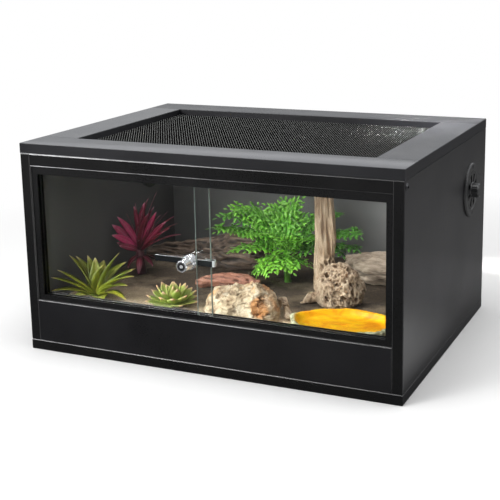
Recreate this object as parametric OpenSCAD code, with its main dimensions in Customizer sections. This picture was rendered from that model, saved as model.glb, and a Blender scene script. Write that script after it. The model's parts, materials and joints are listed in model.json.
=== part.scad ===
// Front-opening reptile terrarium: laminated boards, mesh top, two sliding glass doors with a
// ratchet showcase lock, a rotary vent on each side, and a planted bed inside.
// Origin: middle of the underside. +X right, +Y back, +Z up. Millimetres.

/* [Cabinet] */
// Overall width, left to right
cabinet_w = 600; // [590:10:900]
// Overall depth, front to back
cabinet_d = 450; // [440:10:650]
// Overall height
cabinet_h = 325; // [320:5:500]
// Thickness of every laminated board
board_t = 16; // [15:0.5:19]
// Radius rolled on the exposed board edges
arris = 1.6; // [0.8:0.1:2.4]
// Height of the front board under the doors
fascia_h = 65; // [58:1:80]
// Height of the rail over the doors
upper_rail_h = 19; // [17:1:30]
// How far the rail over the doors sits behind the front plane
upper_rail_setback = 1; // [0.5:0.1:1.5]

/* [Top frame] */
// Width of the front and rear top rails
long_rail_w = 62; // [55:1:75]
// Width of the left and right top rails
side_rail_w = 60; // [50:1:75]
// Thickness of the strip that carries the mesh
mesh_strip_t = 3; // [2:0.5:4]
// Strip width that shows inside the top rails
mesh_strip_show = 6; // [4:0.5:10]
// Strip width let into the rail groove
mesh_strip_hold = 5.6; // [4:0.2:7]
// Wood left under the groove
groove_floor = 2; // [1.5:0.1:3]
// Thickness of the mesh wire
mesh_wire = 1.2; // [1:0.1:2]
// Spacing of the modelled mesh bars
mesh_pitch = 20; // [16:1:30]

/* [Door tracks] */
// Thickness of a glass door
pane_t = 4; // [3:0.5:5]
// Air gap between the two doors
pane_gap = 4.5; // [4.2:0.1:6]
// How far the two closed doors overlap
pane_overlap = 20; // [14:1:30]
// Side clearance of a door in its slot
pane_clear = 0.4; // [0.3:0.05:0.5]
// Gap under a door in the lower track
pane_seat_gap = 0.3; // [0.2:0.05:0.5]
// Glass held in the upper track when the door is down
pane_top_hold = 2.5; // [2:0.1:3]
// Thickness of the plastic lips and floors
lip_t = 1.5; // [1.2:0.1:2]
// Track face behind the front plane
track_setback = 3.6; // [3:0.1:5]
// Height of the lower track
lower_track_h = 8.5; // [7:0.5:10]
// Height of the upper track
upper_track_h = 12; // [11:0.5:14]
// Reach of the side trims from the side panels
jamb_reach = 10; // [8:0.5:14]

/* [Lock] */
// Height of the toothed blade
blade_h = 9; // [8:0.5:11]
// Thickness of the toothed blade
blade_t = 1.4; // [1.2:0.1:1.6]
// Length of the blade from its tip to the glass edge
blade_len = 90; // [80:1:100]
// Blade centre above the floor
lock_z = 166; // [140:1:190]
// Tooth spacing on the lower edge of the blade
tooth_pitch = 2.4; // [2:0.1:3]
// Tooth depth
tooth_depth = 1; // [0.7:0.1:1.2]
// Radius of the barrel's rear collar
collar_r = 11; // [10.6:0.1:12]
// Length of the rear collar
collar_len = 8.5; // [8:0.1:10]
// Radius of the barrel's front part
barrel_r = 8.6; // [8:0.1:9.4]
// Length of the whole barrel
barrel_len = 31.7; // [29:0.1:36]
// Radius of the keyed plug
plug_r = 4.5; // [4.2:0.1:4.8]
// Radial running clearance of the plug and vent pins
running_fit = 0.06; // [0.03:0.01:0.1]
// Clearance round the blade and the pawl
slide_fit = 0.3; // [0.25:0.05:0.35]
// Travel of the pawl when the key is turned
pawl_travel = 1.3; // [1.1:0.1:1.4]

/* [Side vents] */
// Outer radius of the vent flange
vent_r = 43; // [41:0.5:48]
// Radius of the vent hole in the panel
vent_hole_r = 29; // [27:0.5:29.5]
// Vent centre in front of the back plane
vent_back = 98; // [85:1:150]
// Vent centre below the top
vent_drop = 100; // [85:1:140]
// Number of vent slots
vent_slots = 8; // [6:1:10]
// Radius of the vent screw circle
vent_screw_r = 36.5; // [35.5:0.5:38]
// Radius of the vent knob
knob_r = 12; // [10:0.5:12.5]
// How far the knob stands off the panel
knob_reach = 15; // [13:0.5:18]

/* [Planted bed] */
// Top of the sand above the floor
sand_top = 66; // [60:1:72]
// Longest leaf of the spiky plant
agave_leaf = 92; // [70:1:95]
// Height of the driftwood trunk above the sand
trunk_h = 200; // [150:5:205]
// Length of the food dish
dish_l = 160; // [140:2:165]
// Width of the food dish
dish_w = 104; // [90:2:110]
// Height of the food dish
dish_h = 16; // [13:1:22]
// Food dish to the right side panel
dish_side = 18; // [15:1:24]
// Food dish to the front plane
dish_front = 30; // [28:1:36]

/* [Hidden] */
$fn = 48;

big = 1000;      // reach of a cutter that only has to pass through
skin = 1;        // overrun of a cutter past the face that it opens

// Cabinet levels and faces
half_w = cabinet_w / 2;
half_d = cabinet_d / 2;
front = -half_d;
inner_w = cabinet_w - 2 * board_t;
wall = inner_w / 2;                              // inner face of a side panel
frame_z = cabinet_h - board_t;                   // underside of the top frame
rail_z = frame_z - upper_rail_h;                 // underside of the upper rail
fascia_top = board_t + fascia_h;
panel_h = frame_z - board_t;
open_w = cabinet_w - 2 * side_rail_w;            // opening in the top frame
open_d = cabinet_d - 2 * long_rail_w;
board_mid = board_t / 2;

// Mesh panel
groove_clear = 0.1;
groove_end = 0.4;                                // strip edge to the bottom of the groove
strip_z = frame_z + groove_floor + groove_clear;
mesh_z = strip_z + mesh_strip_t;
mesh_margin = 1;                                 // mesh edge to the rails

// Door tracks, measured back from the front plane
slot_w = pane_t + 2 * pane_clear;
rib_w = pane_gap - 2 * pane_clear;
front_pane_y = front + track_setback + lip_t + pane_clear;
rear_pane_y = front_pane_y + pane_t + pane_gap;
pane_bottom = fascia_top + lip_t + pane_seat_gap;
track_top_z = rail_z - upper_track_h;            // underside of the upper track
pane_h = track_top_z + pane_top_hold - pane_bottom;
pane_end_gap = 0.5;                              // door edge to the web of the side trim
pane_outer = wall - lip_t - pane_end_gap;        // outer edge of a closed door
pane_w = pane_outer + pane_overlap / 2;
pane_chamfer = 0.4;

// Lock, on the rear door's edge
blade_y = rear_pane_y - 3.2;                     // front face of the blade
liner_t = rear_pane_y - blade_y - blade_t;       // rubber between the blade and the glass
hook_inner_r = (pane_t + 2 * liner_t) / 2;
hook_outer_r = hook_inner_r + blade_t;
glass_edge = pane_overlap / 2;                   // free edge of the rear door
hook_x = glass_edge + liner_t;                   // where the hook starts to bend
hook_leaf = 14;                                  // length of the leaf behind the glass
lock_x = -glass_edge - 0.3 - collar_r;           // barrel axis, against the front door's edge
barrel_back = rear_pane_y - 0.3;
bezel_r = plug_r + 1.7;
bezel_len = 2.6;
pawl_w = 2.4;
pawl_foot = lock_z - 8.8;
pin_orbit = plug_r - 0.9;                        // tail pin's distance from the plug axis
tail_pin_r = 0.8;
shelf_z = lock_z - pin_orbit - tail_pin_r - 0.2 + pawl_travel;
plug_seat = collar_len - 1.8;                    // back of the plug's body, from the barrel's back
plug_back = barrel_back - plug_seat;
pawl_front = plug_back + 0.2;
tail_len = 2.2;
blade_low = lock_z - blade_h / 2;

// Vents
vent_y = half_d - vent_back;
vent_z = cabinet_h - vent_drop;
vent_angle = 360 / vent_slots;
spigot_clear = 0.2;
spigot_t = 1.6;
plate_t = 1.6;
flange_t = 3.4;
shutter_gap = 0.3;
shutter_t = 1.4;
cup_r = vent_hole_r + 1.2;                       // wall round the shutter
slot_in = knob_r + 1.2;
slot_out = vent_hole_r - 2.2;
pin_r = 2.5;
pin_head_r = 4.5;
pin_head_t = 1.2;
vent_screw_shank = 1.75;
vent_screw_depth = 12;
vent_screw_head = 3.2;
vent_head_seat = 1.6;                            // depth of the screw's seat in the flange

// Fasteners
screw_r = 2.5;
screw_head_r = 5;
screw_head_z = 0.3;
screw_head_t = 1;                                // straight part of the head
screw_end = 60;                                  // screw to the end of a side panel
screw_corner = 100;                              // screw to the side panel
screw_len = 50;
bore_clear = 0.1;
dowel_r = 4;
dowel_len = 30;
dowel_seat = 11;                                 // depth of a dowel in a board's face
dowel_end = 30;                                  // outer dowel to the end of a side panel
dowel_inner = 130;                               // inner dowel to the end of a side panel
cam_r = 7.4;
cam_depth = 12.4;
cam_inset = 24;                                  // cam centre to the mating board
cam_end = 60;                                    // cam to the end of the back panel
cam_sleeve_r = 3.4;                              // bolt's plastic sleeve
cam_neck_r = 1.6;
cam_ball_r = 3;
rail_screw_r = 2;
rail_screw_head = 5.5;
rail_screw_dome = 2.4;
rail_screw_bite = 24;                            // length in the upper rail

// ---------------------------------------------------------------- shared outlines

function arc(c, r, a0, a1, n) = [for (i = [0:n])
    let (a = a0 + (a1 - a0) * i / n) c + r * [cos(a), sin(a)]];

function rounded(w, h, r, n = 3) = concat(
    arc([w - r, h - r], r, 0, 90, n), arc([r, h - r], r, 90, 180, n),
    arc([r, r], r, 180, 270, n), arc([w - r, r], r, 270, 360, n));

// Board with rolled edges all round its face and along X
module board(size) {
    intersection() {
        linear_extrude(size.z) polygon(rounded(size.x, size.y, arris));
        rotate([90, 0, 90]) linear_extrude(size.x) polygon(rounded(size.y, size.z, arris));
    }
}

// Comb-shaped section of a two-slot track: floor along the first axis, lips up the second
function comb(lip, h) = let (
    a = lip_t, b = a + slot_w, c = b + rib_w, d = c + slot_w, e = d + lip_t)
    [[0, 0], [e, 0], [e, h], [d, h], [d, lip], [c, lip], [c, h], [b, h], [b, lip], [a, lip], [a, h], [0, h]];

// Flat ring segment between two radii, centred on angle 0
function sector(r0, r1, half, n = 4) =
    concat(arc([0, 0], r1, -half, half, n), arc([0, 0], r0, half, -half, n));

// ---------------------------------------------------------------- places that repeat

module at_base_screws() {
    for (x = [-1, 1], y = [-1, 0, 1])
        translate([x * (half_w - board_mid), y * (half_d - screw_end), 0]) children();
    for (y = [-1, 1], x = [-1, 0, 1])
        translate([x * (wall - screw_corner), y * (half_d - board_mid), 0]) children();
}

module at_rail_screws() {
    for (s = [-1, 1])
        translate([s * half_w, front + upper_rail_setback + board_mid, rail_z + upper_rail_h / 2])
            rotate([0, s * 90, 0]) children();
}

// Upright dowels between the side panels and the top rails
module at_panel_dowels() {
    for (x = [-1, 1], y = [-1, 1], end = [dowel_end, dowel_inner])
        translate([x * (half_w - board_mid), y * (half_d - end), frame_z + dowel_seat - dowel_len])
            children();
}

// Flat dowels between the long and the short top rails
module at_rail_dowels() {
    for (x = [-1, 1], y = [-1, 1])
        translate([x * (half_w - side_rail_w / 2), y * open_d / 2 + dowel_len / 2, frame_z + board_mid])
            rotate([90, 0, 0]) children();
}

module at_fascia_dowels() {
    for (s = [-1, 1], z = [-1, 1])
        translate([s * (wall + dowel_seat), front + board_mid, board_t + fascia_h / 2 + z * fascia_h / 4])
            rotate([0, -s * 90, 0]) children();
}

// Cam fittings: child +Z comes out of the board's face, +X points at the mating board
module at_back_cams() {
    for (s = [-1, 1], z = [-1, 1])
        translate([s * (wall - cam_inset), half_d, board_t + panel_h / 2 + z * (panel_h / 2 - cam_end)])
            rotate([0, s > 0 ? 0 : 180, 0]) rotate([-90, 0, 0]) children();
}

module at_top_cams() {
    for (s = [-1, 1], y = [-1, 1])
        translate([s * wall, y * (half_d - dowel_inner) / 2, frame_z - cam_inset])
            rotate([0, 0, s > 0 ? 0 : 180]) rotate([0, -90, 0]) children();
}

// Side vent frame: child +Z points out of the side panel, child +Y points up
module at_vent(s) {
    translate([s * half_w, vent_y, vent_z]) mirror([s > 0 ? 0 : 1, 0, 0]) rotate([90, 0, 90]) children();
}

module at_vent_screws() {
    for (v = [-1, 1]) translate([0, v * vent_screw_r, 0]) children();
}

// ---------------------------------------------------------------- fasteners and their bores

module base_screw(grow = 0) {
    cone_h = screw_head_r - screw_r;
    translate([0, 0, screw_head_z - (grow > 0 ? skin : 0)])
        cylinder(r = screw_head_r + grow, h = screw_head_t + (grow > 0 ? skin : 0));
    translate([0, 0, screw_head_z + screw_head_t]) {
        cylinder(r1 = screw_head_r + grow, r2 = screw_r + grow, h = cone_h);
        translate([0, 0, cone_h]) cylinder(r = screw_r + grow, h = screw_len - cone_h + grow);
    }
}

module dowel(grow = 0) {
    translate([0, 0, -grow]) cylinder(r = dowel_r + grow, h = dowel_len + 2 * grow);
}

module rail_screw_shank(grow = 0) {
    len = board_t + rail_screw_bite;
    translate([0, 0, -len - grow]) cylinder(r = rail_screw_r + grow, h = len + 2 * grow);
}

module cam_cutter() {
    depth = cam_depth + bore_clear;
    translate([0, 0, -depth]) cylinder(r = cam_r + bore_clear, h = depth + skin);
    translate([0, 0, -board_mid]) rotate([0, 90, 0]) cylinder(r = cam_sleeve_r + 0.2, h = cam_inset + skin);
}

module cam_bolt_cutter() {
    translate([cam_inset - skin, 0, -board_mid]) rotate([0, 90, 0])
        cylinder(r = screw_r + bore_clear, h = dowel_seat + 0.2 + skin);
}

module vent_screw_cutter(depth) {
    translate([0, 0, -depth]) cylinder(r = vent_screw_shank + bore_clear, h = depth + flange_t + skin);
    translate([0, 0, flange_t - vent_head_seat])
        cylinder(r = vent_screw_head + bore_clear, h = vent_head_seat + skin);
}

// ---------------------------------------------------------------- cabinet boards

module base_panel() color([0.09, 0.09, 0.10]) difference() {
    translate([-half_w, front, 0]) board([cabinet_w, cabinet_d, board_t]);
    at_base_screws() base_screw(bore_clear);
}

module side_panel(s) color([0.11, 0.11, 0.12]) difference() {
    translate([s > 0 ? wall : -half_w, front, board_t])
        linear_extrude(panel_h) polygon(rounded(board_t, cabinet_d, arris));
    at_base_screws() base_screw(bore_clear);
    at_panel_dowels() dowel(bore_clear);
    at_fascia_dowels() dowel(bore_clear);
    at_rail_screws() rail_screw_shank(bore_clear);
    at_top_cams() cam_cutter();
    at_back_cams() cam_bolt_cutter();
    at_vent(s) {
        translate([0, 0, -board_t - skin]) cylinder(r = vent_hole_r, h = board_t + 2 * skin);
        at_vent_screws() translate([0, 0, -vent_screw_depth])
            cylinder(r = vent_screw_shank + bore_clear, h = vent_screw_depth + skin);
    }
}

module left_side_panel() side_panel(-1);
module right_side_panel() side_panel(1);

module back_panel() color([0.12, 0.12, 0.13]) difference() {
    translate([-wall, half_d - board_t, board_t]) cube([inner_w, board_t, panel_h]);
    at_base_screws() base_screw(bore_clear);
    at_back_cams() cam_cutter();
}

module front_fascia() color([0.12, 0.12, 0.13]) difference() {
    translate([-wall, front, board_t]) board([inner_w, board_t, fascia_h]);
    at_base_screws() base_screw(bore_clear);
    at_fascia_dowels() dowel(bore_clear);
}

module upper_rail() color([0.07, 0.07, 0.08]) difference() {
    translate([-wall, front + upper_rail_setback, rail_z]) board([inner_w, board_t, upper_rail_h]);
    at_rail_screws() rail_screw_shank(bore_clear);
}

// Everything that is cut out of the top rails
module top_frame_cuts() {
    at_panel_dowels() dowel(bore_clear);
    at_rail_dowels() dowel(bore_clear);
    at_top_cams() cam_bolt_cutter();
    hold = mesh_strip_hold + groove_end;
    translate([-open_w / 2 - hold, -open_d / 2 - hold, strip_z - groove_clear])
        cube([open_w + 2 * hold, open_d + 2 * hold, mesh_strip_t + 2 * groove_clear]);
}

module long_top_rail(y) color([0.17, 0.17, 0.18]) difference() {
    translate([-half_w, y, frame_z]) board([cabinet_w, long_rail_w, board_t]);
    top_frame_cuts();
}

module short_top_rail(x) color([0.15, 0.15, 0.16]) difference() {
    translate([x, -open_d / 2, frame_z]) cube([side_rail_w, open_d, board_t]);
    top_frame_cuts();
}

module top_front_rail() long_top_rail(front);
module top_rear_rail() long_top_rail(half_d - long_rail_w);
module top_left_rail() short_top_rail(-half_w);
module top_right_rail() short_top_rail(half_w - side_rail_w);

module mesh_frame() color([0.06, 0.06, 0.07]) translate([0, 0, strip_z]) linear_extrude(mesh_strip_t)
    difference() {
        square([open_w + 2 * mesh_strip_hold, open_d + 2 * mesh_strip_hold], center = true);
        square([open_w - 2 * mesh_strip_show, open_d - 2 * mesh_strip_show], center = true);
    }

module mesh_screen() {
    w = open_w - 2 * mesh_margin;
    d = open_d - 2 * mesh_margin;
    nx = round(w / mesh_pitch);
    ny = round(d / mesh_pitch);
    cell_x = (w - mesh_wire) / nx;
    cell_y = (d - mesh_wire) / ny;
    color([0.13, 0.13, 0.14]) translate([0, 0, mesh_z]) linear_extrude(mesh_wire) difference() {
        square([w, d], center = true);
        for (i = [0:nx - 1], j = [0:ny - 1])
            translate([-w / 2 + mesh_wire + i * cell_x, -d / 2 + mesh_wire + j * cell_y])
                square([cell_x - mesh_wire, cell_y - mesh_wire]);
    }
}

// ---------------------------------------------------------------- tracks and trims

module lower_track() color([0.08, 0.08, 0.08]) translate([-wall, front + track_setback, fascia_top])
    rotate([90, 0, 90]) linear_extrude(inner_w) polygon(comb(lip_t, lower_track_h));

module upper_track() color([0.08, 0.08, 0.08]) translate([-wall, front + track_setback, rail_z])
    rotate([90, 0, 90]) linear_extrude(inner_w) mirror([0, 1]) polygon(comb(lip_t, upper_track_h));

module jamb_trim(s) {
    foot = fascia_top + lower_track_h;
    color([0.1, 0.1, 0.1]) translate([s * wall, front + track_setback, foot])
        mirror([s > 0 ? 1 : 0, 0, 0]) linear_extrude(track_top_z - foot)
            mirror([1, 0]) rotate(90) polygon(comb(lip_t, jamb_reach));
}

module left_jamb_trim() jamb_trim(-1);
module right_jamb_trim() jamb_trim(1);

// ---------------------------------------------------------------- fastener groups

module base_screws() color([0.55, 0.55, 0.57]) at_base_screws() difference() {
    base_screw();
    cylinder(r = 2.3, h = 2.6, $fn = 6);
}

module rail_screws() color([0.05, 0.05, 0.05]) at_rail_screws() {
    difference() {
        intersection() {
            cylinder(r = rail_screw_head, h = rail_screw_dome);
            translate([0, 0, rail_screw_dome - 8]) sphere(r = 8);
        }
        translate([0, 0, rail_screw_dome - 1.3]) cylinder(r = 1.9, h = 2, $fn = 6);
    }
    rail_screw_shank();
}

module frame_dowels() color([0.76, 0.62, 0.42]) {
    at_panel_dowels() dowel();
    at_rail_dowels() dowel();
}

module fascia_dowels() color([0.76, 0.62, 0.42]) at_fascia_dowels() dowel();

// Bolt screwed into the mating board; its head lies in the cam
module cam_bolt() translate([0, 0, -board_mid]) rotate([0, 90, 0]) {
    translate([0, 0, cam_inset]) cylinder(r = screw_r, h = dowel_seat);
    translate([0, 0, cam_r + 1]) cylinder(r = cam_sleeve_r, h = cam_inset - cam_r - 1);
    translate([0, 0, 1.5]) cylinder(r = cam_neck_r, h = cam_r);
    translate([0, 0, -1]) cylinder(r = cam_ball_r, h = 2.6);
}

module cam_disc() difference() {
    translate([0, 0, -cam_depth]) cylinder(r = cam_r, h = cam_depth);
    translate([-4, 0, -board_mid]) rotate([0, 90, 0]) cylinder(r = cam_ball_r + 0.3, h = cam_r + 4 + skin);
    // cross slot for the screwdriver
    for (a = [0, 90]) rotate(a) translate([-4.4, -0.7, -1.6]) cube([8.8, 1.4, 1.6 + skin]);
}

module cam_bolts() color([0.7, 0.7, 0.68]) {
    at_back_cams() cam_bolt();
    at_top_cams() cam_bolt();
}

module cam_discs() color([0.62, 0.62, 0.62]) {
    at_back_cams() cam_disc();
    at_top_cams() cam_disc();
}

// ---------------------------------------------------------------- rotary vents

module vent_slot_cuts(z, h) {
    for (i = [0:vent_slots - 1]) rotate(i * vent_angle + vent_angle / 2) translate([0, 0, z])
        linear_extrude(h) polygon(sector(slot_in, slot_out, vent_angle * 0.22));
}

module vent_flange(s) color([0.09, 0.09, 0.09]) at_vent(s) difference() {
    rotate_extrude() {
        polygon([
            [pin_r + bore_clear, 0], [vent_r, 0], [vent_r, flange_t - 2], [vent_r - 0.6, flange_t - 0.8],
            [vent_r - 2.2, flange_t], [cup_r + 1, flange_t], [cup_r, flange_t - 1],
            [cup_r, plate_t], [pin_r + bore_clear, plate_t]]);
        translate([vent_hole_r - spigot_clear - spigot_t, -10]) square([spigot_t, 10.5]);
    }
    vent_slot_cuts(-skin, plate_t + 2 * skin);
    at_vent_screws() vent_screw_cutter(skin);
}

module vent_shutter(s) color([0.12, 0.12, 0.12]) at_vent(s) difference() {
    z0 = plate_t + shutter_gap;
    z1 = z0 + shutter_t;
    rotate_extrude() polygon([
        [0, z0], [cup_r - 0.4, z0], [cup_r - 0.4, z1], [knob_r + 0.8, z1], [knob_r, z1 + 0.8],
        [knob_r - 0.7, knob_reach - 1.6], [knob_r - 2.2, knob_reach], [0, knob_reach]]);
    translate([0, 0, z0 - skin]) cylinder(r = pin_r + running_fit, h = knob_reach - 4 - z0 + skin);
    vent_slot_cuts(z0 - skin, shutter_t + 2 * skin);
    for (i = [0:11]) rotate(i * 30) translate([knob_r + 0.9, 0, z1 + 1]) cylinder(r = 1.8, h = knob_reach);
}

module vent_ring(s) color([0.09, 0.09, 0.09]) at_vent(s) translate([0, 0, -board_t]) rotate_extrude() {
    translate([vent_hole_r - 4, -2]) square([13, 2]);
    translate([vent_hole_r - spigot_clear - spigot_t, -0.5]) square([spigot_t, 5.5]);
}

module left_vent_flange() vent_flange(-1);
module right_vent_flange() vent_flange(1);
module left_vent_shutter() vent_shutter(-1);
module right_vent_shutter() vent_shutter(1);
module left_vent_ring() vent_ring(-1);
module right_vent_ring() vent_ring(1);

module vent_pins() color([0.2, 0.2, 0.2]) for (s = [-1, 1]) at_vent(s) {
    translate([0, 0, -pin_head_t]) cylinder(r = pin_head_r, h = pin_head_t);
    cylinder(r = pin_r, h = knob_reach - 4.4);
}

module vent_screws() color([0.08, 0.08, 0.08]) for (s = [-1, 1]) at_vent(s) at_vent_screws() difference() {
    union() {
        translate([0, 0, 0.2 - vent_screw_depth])
            cylinder(r = vent_screw_shank, h = vent_screw_depth + flange_t - vent_head_seat);
        translate([0, 0, flange_t - vent_head_seat]) cylinder(r = vent_screw_head, h = vent_head_seat - 0.2);
    }
    for (a = [0, 90]) rotate(a) translate([-1.9, -0.35, flange_t - 0.9]) cube([3.8, 0.7, 1]);
}

// ---------------------------------------------------------------- doors

// Pane with ground edges
module glass_door() {
    c = pane_chamfer;
    linear_extrude(pane_h) polygon([
        [0, c], [c, 0], [pane_w - c, 0], [pane_w, c],
        [pane_w, pane_t - c], [pane_w - c, pane_t], [c, pane_t], [0, pane_t - c]]);
}

module left_glass_door() color([0.6, 0.75, 0.7, 0.35])
    translate([-pane_outer, rear_pane_y, pane_bottom]) glass_door();
module right_glass_door() color([0.6, 0.75, 0.7, 0.35])
    translate([pane_outer - pane_w, front_pane_y, pane_bottom]) glass_door();

// ---------------------------------------------------------------- lock

// Cutter for the ratchet teeth: steep face towards the hook
module teeth_cutter() {
    n = floor((blade_len - 16) / tooth_pitch);
    x0 = glass_edge - blade_len + 4;
    translate([0, blade_y + blade_t + 0.5, 0]) rotate([90, 0, 0]) linear_extrude(blade_t + 1) polygon(concat(
        [[x0 + n * tooth_pitch, blade_low - 1], [x0, blade_low - 1]],
        [for (i = [0:n - 1], k = [0, 1])
            [x0 + (i + k * 0.96) * tooth_pitch, blade_low + (k == 0 ? 0 : tooth_depth)]]));
}

module lock_blade() {
    mid_y = blade_y + blade_t + hook_inner_r;
    tip_x = glass_edge - blade_len;
    leaf_x = hook_x - hook_leaf;
    color([0.25, 0.27, 0.3]) difference() {
        translate([0, 0, blade_low]) linear_extrude(blade_h) polygon(concat(
            [[tip_x, blade_y]], arc([hook_x, mid_y], hook_outer_r, -90, 90, 8),
            [[leaf_x, mid_y + hook_outer_r], [leaf_x, mid_y + hook_inner_r]],
            arc([hook_x, mid_y], hook_inner_r, 90, -90, 8), [[tip_x, blade_y + blade_t]]));
        teeth_cutter();
    }
}

module hook_liner() {
    mid_y = blade_y + blade_t + hook_inner_r;
    leaf_x = hook_x - hook_leaf;
    color([0.06, 0.06, 0.06]) translate([0, 0, blade_low + 0.3]) linear_extrude(blade_h - 0.6) difference() {
        polygon(concat([[leaf_x, mid_y - hook_inner_r]], arc([hook_x, mid_y], hook_inner_r, -90, 90, 8),
            [[leaf_x, mid_y + hook_inner_r]]));
        translate([glass_edge - big, rear_pane_y]) square([big, pane_t]);
    }
}

// Lock parts turned about the barrel axis: child +Z runs from the back of the barrel to its key face
module on_barrel_axis() translate([lock_x, barrel_back, lock_z]) rotate([90, 0, 0]) children();

module lock_barrel() color([0.8, 0.8, 0.82]) difference() {
    on_barrel_axis() difference() {
        rotate_extrude() polygon([
            [0, 0], [collar_r - 0.5, 0], [collar_r, 0.5], [collar_r, collar_len - 1.2],
            // two turned rings in front of the collar
            for (g = [[1.2, 0], [1.2, 0.9], [0.5, 1.5], [0.5, 3.2], [1.4, 4], [1.4, 4.8]])
                [collar_r - g[0], collar_len + g[1]],
            [barrel_r + 0.3, collar_len + 6.2], [barrel_r, collar_len + 7.5],
            [barrel_r, barrel_len - 1.2], [barrel_r - 1.2, barrel_len], [0, barrel_len]]);
        translate([0, 0, plug_seat - running_fit]) cylinder(r = plug_r + running_fit, h = big);
        translate([0, 0, barrel_len - bezel_len]) cylinder(r = bezel_r + bore_clear, h = bezel_len + skin);
        // swing room of the plug's tail pin
        translate([0, 0, plug_seat - tail_len - slide_fit])
            cylinder(r = plug_r + running_fit, h = tail_len + 1);
    }
    // way of the blade
    translate([lock_x - 2 * collar_r, blade_y - slide_fit, blade_low - slide_fit])
        cube([4 * collar_r, blade_t + 2 * slide_fit, blade_h + 2 * slide_fit]);
    // chamber of the pawl
    room_w = pawl_w + 2 * slide_fit;
    translate([lock_x - room_w / 2, pawl_front - slide_fit, pawl_foot - pawl_travel - slide_fit])
        cube([room_w, blade_y + blade_t - pawl_front + 2 * slide_fit, lock_z - pawl_foot]);
}

module lock_bezel() color([0.05, 0.05, 0.05]) on_barrel_axis() translate([0, 0, barrel_len - bezel_len])
    rotate_extrude() translate([plug_r + 0.2, 0]) polygon(
        [[0, 0], [bezel_r - plug_r - 0.2, 0], [bezel_r - plug_r - 0.2, bezel_len - 0.5],
         [bezel_r - plug_r - 0.7, bezel_len - 0.1], [0, bezel_len - 0.1]]);

module lock_plug() color([0.75, 0.75, 0.77]) on_barrel_axis() {
    front_z = barrel_len - 0.4;
    difference() {
        translate([0, 0, plug_seat]) cylinder(r = plug_r, h = front_z - plug_seat);
        // keyway: an upright slot with a side ward
        translate([-0.7, -2.6, front_z - 12]) cube([1.4, 5.2, 12 + skin]);
        translate([-1.5, -1.2, front_z - 12]) cube([3, 1.1, 12 + skin]);
    }
    translate([-pin_orbit, 0, plug_seat - tail_len]) cylinder(r = tail_pin_r, h = tail_len + 0.5);
}

module lock_pawl() color([0.6, 0.58, 0.5]) {
    // shelf under the tail pin
    translate([lock_x - pawl_w / 2, pawl_front, pawl_foot])
        cube([pawl_w, blade_y - slide_fit - pawl_front, shelf_z - pawl_foot]);
    // tooth under the blade
    translate([lock_x - pawl_w / 2, blade_y - slide_fit - 1, pawl_foot])
        cube([pawl_w, blade_t + slide_fit + 1, blade_low - slide_fit - pawl_foot]);
}

// ---------------------------------------------------------------- planted bed

// The planting is laid out for a bed of this size and a dish of this length. Its places are given
// from the left wall, from the front plane and above the sand, and stretch with the real bed.
layout_w = 568;
layout_d = 418;
layout_dish = 160;
bed_x = inner_w / layout_w;
bed_y = (cabinet_d - 2 * board_t) / layout_d;
bed_k = min(bed_x, bed_y);
front_x = (inner_w - dish_l - dish_side) / (layout_w - layout_dish - dish_side);
front_k = min(front_x, bed_y);
function spot(p, x = bed_x, k = bed_k) =
    [-wall + p.x * x, front + board_t + (p.y - board_t) * bed_y, sand_top + p.z * k];
// Place in the front row, left of the dish
function front_spot(p) = spot(p, front_x, front_k);

module above_sand() intersection() {
    children();
    translate([-wall, front, sand_top]) cube([inner_w, cabinet_d, cabinet_h]);
}

function unit(v) = v / norm(v);
function bezier(a, b, c, t) = (1 - t) * (1 - t) * a + 2 * t * (1 - t) * b + t * t * c;

// Direction of a leaf from its azimuth, anticlockwise from the right, and its elevation
function heading(azimuth, elevation) = [
    cos(elevation) * cos(azimuth), cos(elevation) * sin(azimuth), sin(elevation)];

// Closed skin through rings of equal length
module skin_over(rings) {
    n = len(rings[0]);
    m = len(rings);
    polyhedron(
        points = [for (r = rings) each r],
        faces = concat(
            [[for (i = [0:n - 1]) i]], [[for (i = [n - 1:-1:0]) (m - 1) * n + i]],
            [for (k = [0:m - 2], i = [0:n - 1]) let (a = k * n, b = a + n, j = (i + 1) % n)
                each [[a + i, b + i, b + j], [a + i, b + j, a + j]]]),
        convexity = 6);
}

// Branch: lobed rings along a path. side fixes the ring's first direction.
module branch(path, radii, side, n = 10, lobes = 3, lobe = 0.08, flat = 1) {
    m = len(path);
    skin_over([for (k = [0:m - 1]) let (
        t = unit(path[min(k + 1, m - 1)] - path[max(k - 1, 0)]),
        v = unit(cross(t, side)), u = cross(v, t))
        [for (i = [0:n - 1]) let (
            a = 360 * i / n, r = radii[k] * (1 + lobe * sin(lobes * a + 47 * k)))
            path[k] + r * (cos(a) * u + flat * sin(a) * v)]]);
}

// Leaf: arched blade from a to c through the control point b, keeled underneath
module leaf(a, c, rise, width, thick, n = 6, waist = 0.45) {
    chord = c - a;
    leaning = norm([chord.x, chord.y]) > 0.15 * norm(chord);
    flat_side = leaning ? unit(cross(chord, [0, 0, 1])) : [1, 0, 0];
    b = (a + c) / 2 + rise * unit(cross(flat_side, chord));
    skin_over([for (k = [0:n]) let (
        t = k / n, p = bezier(a, b, c, t),
        d = unit(bezier(a, b, c, min(t + 0.05, 1)) - bezier(a, b, c, max(t - 0.05, 0))),
        up = cross(flat_side, d),
        swell = t < waist ? 0.55 + 0.45 * sin(90 * t / waist) : cos(90 * (t - waist) / (1 - waist)),
        w = max(width / 2 * swell, 0.5),
        h = thick * (1 - 0.7 * t))
        [p - w * flat_side, p + 0.15 * h * up, p + w * flat_side, p - h * up]]);
}

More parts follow.
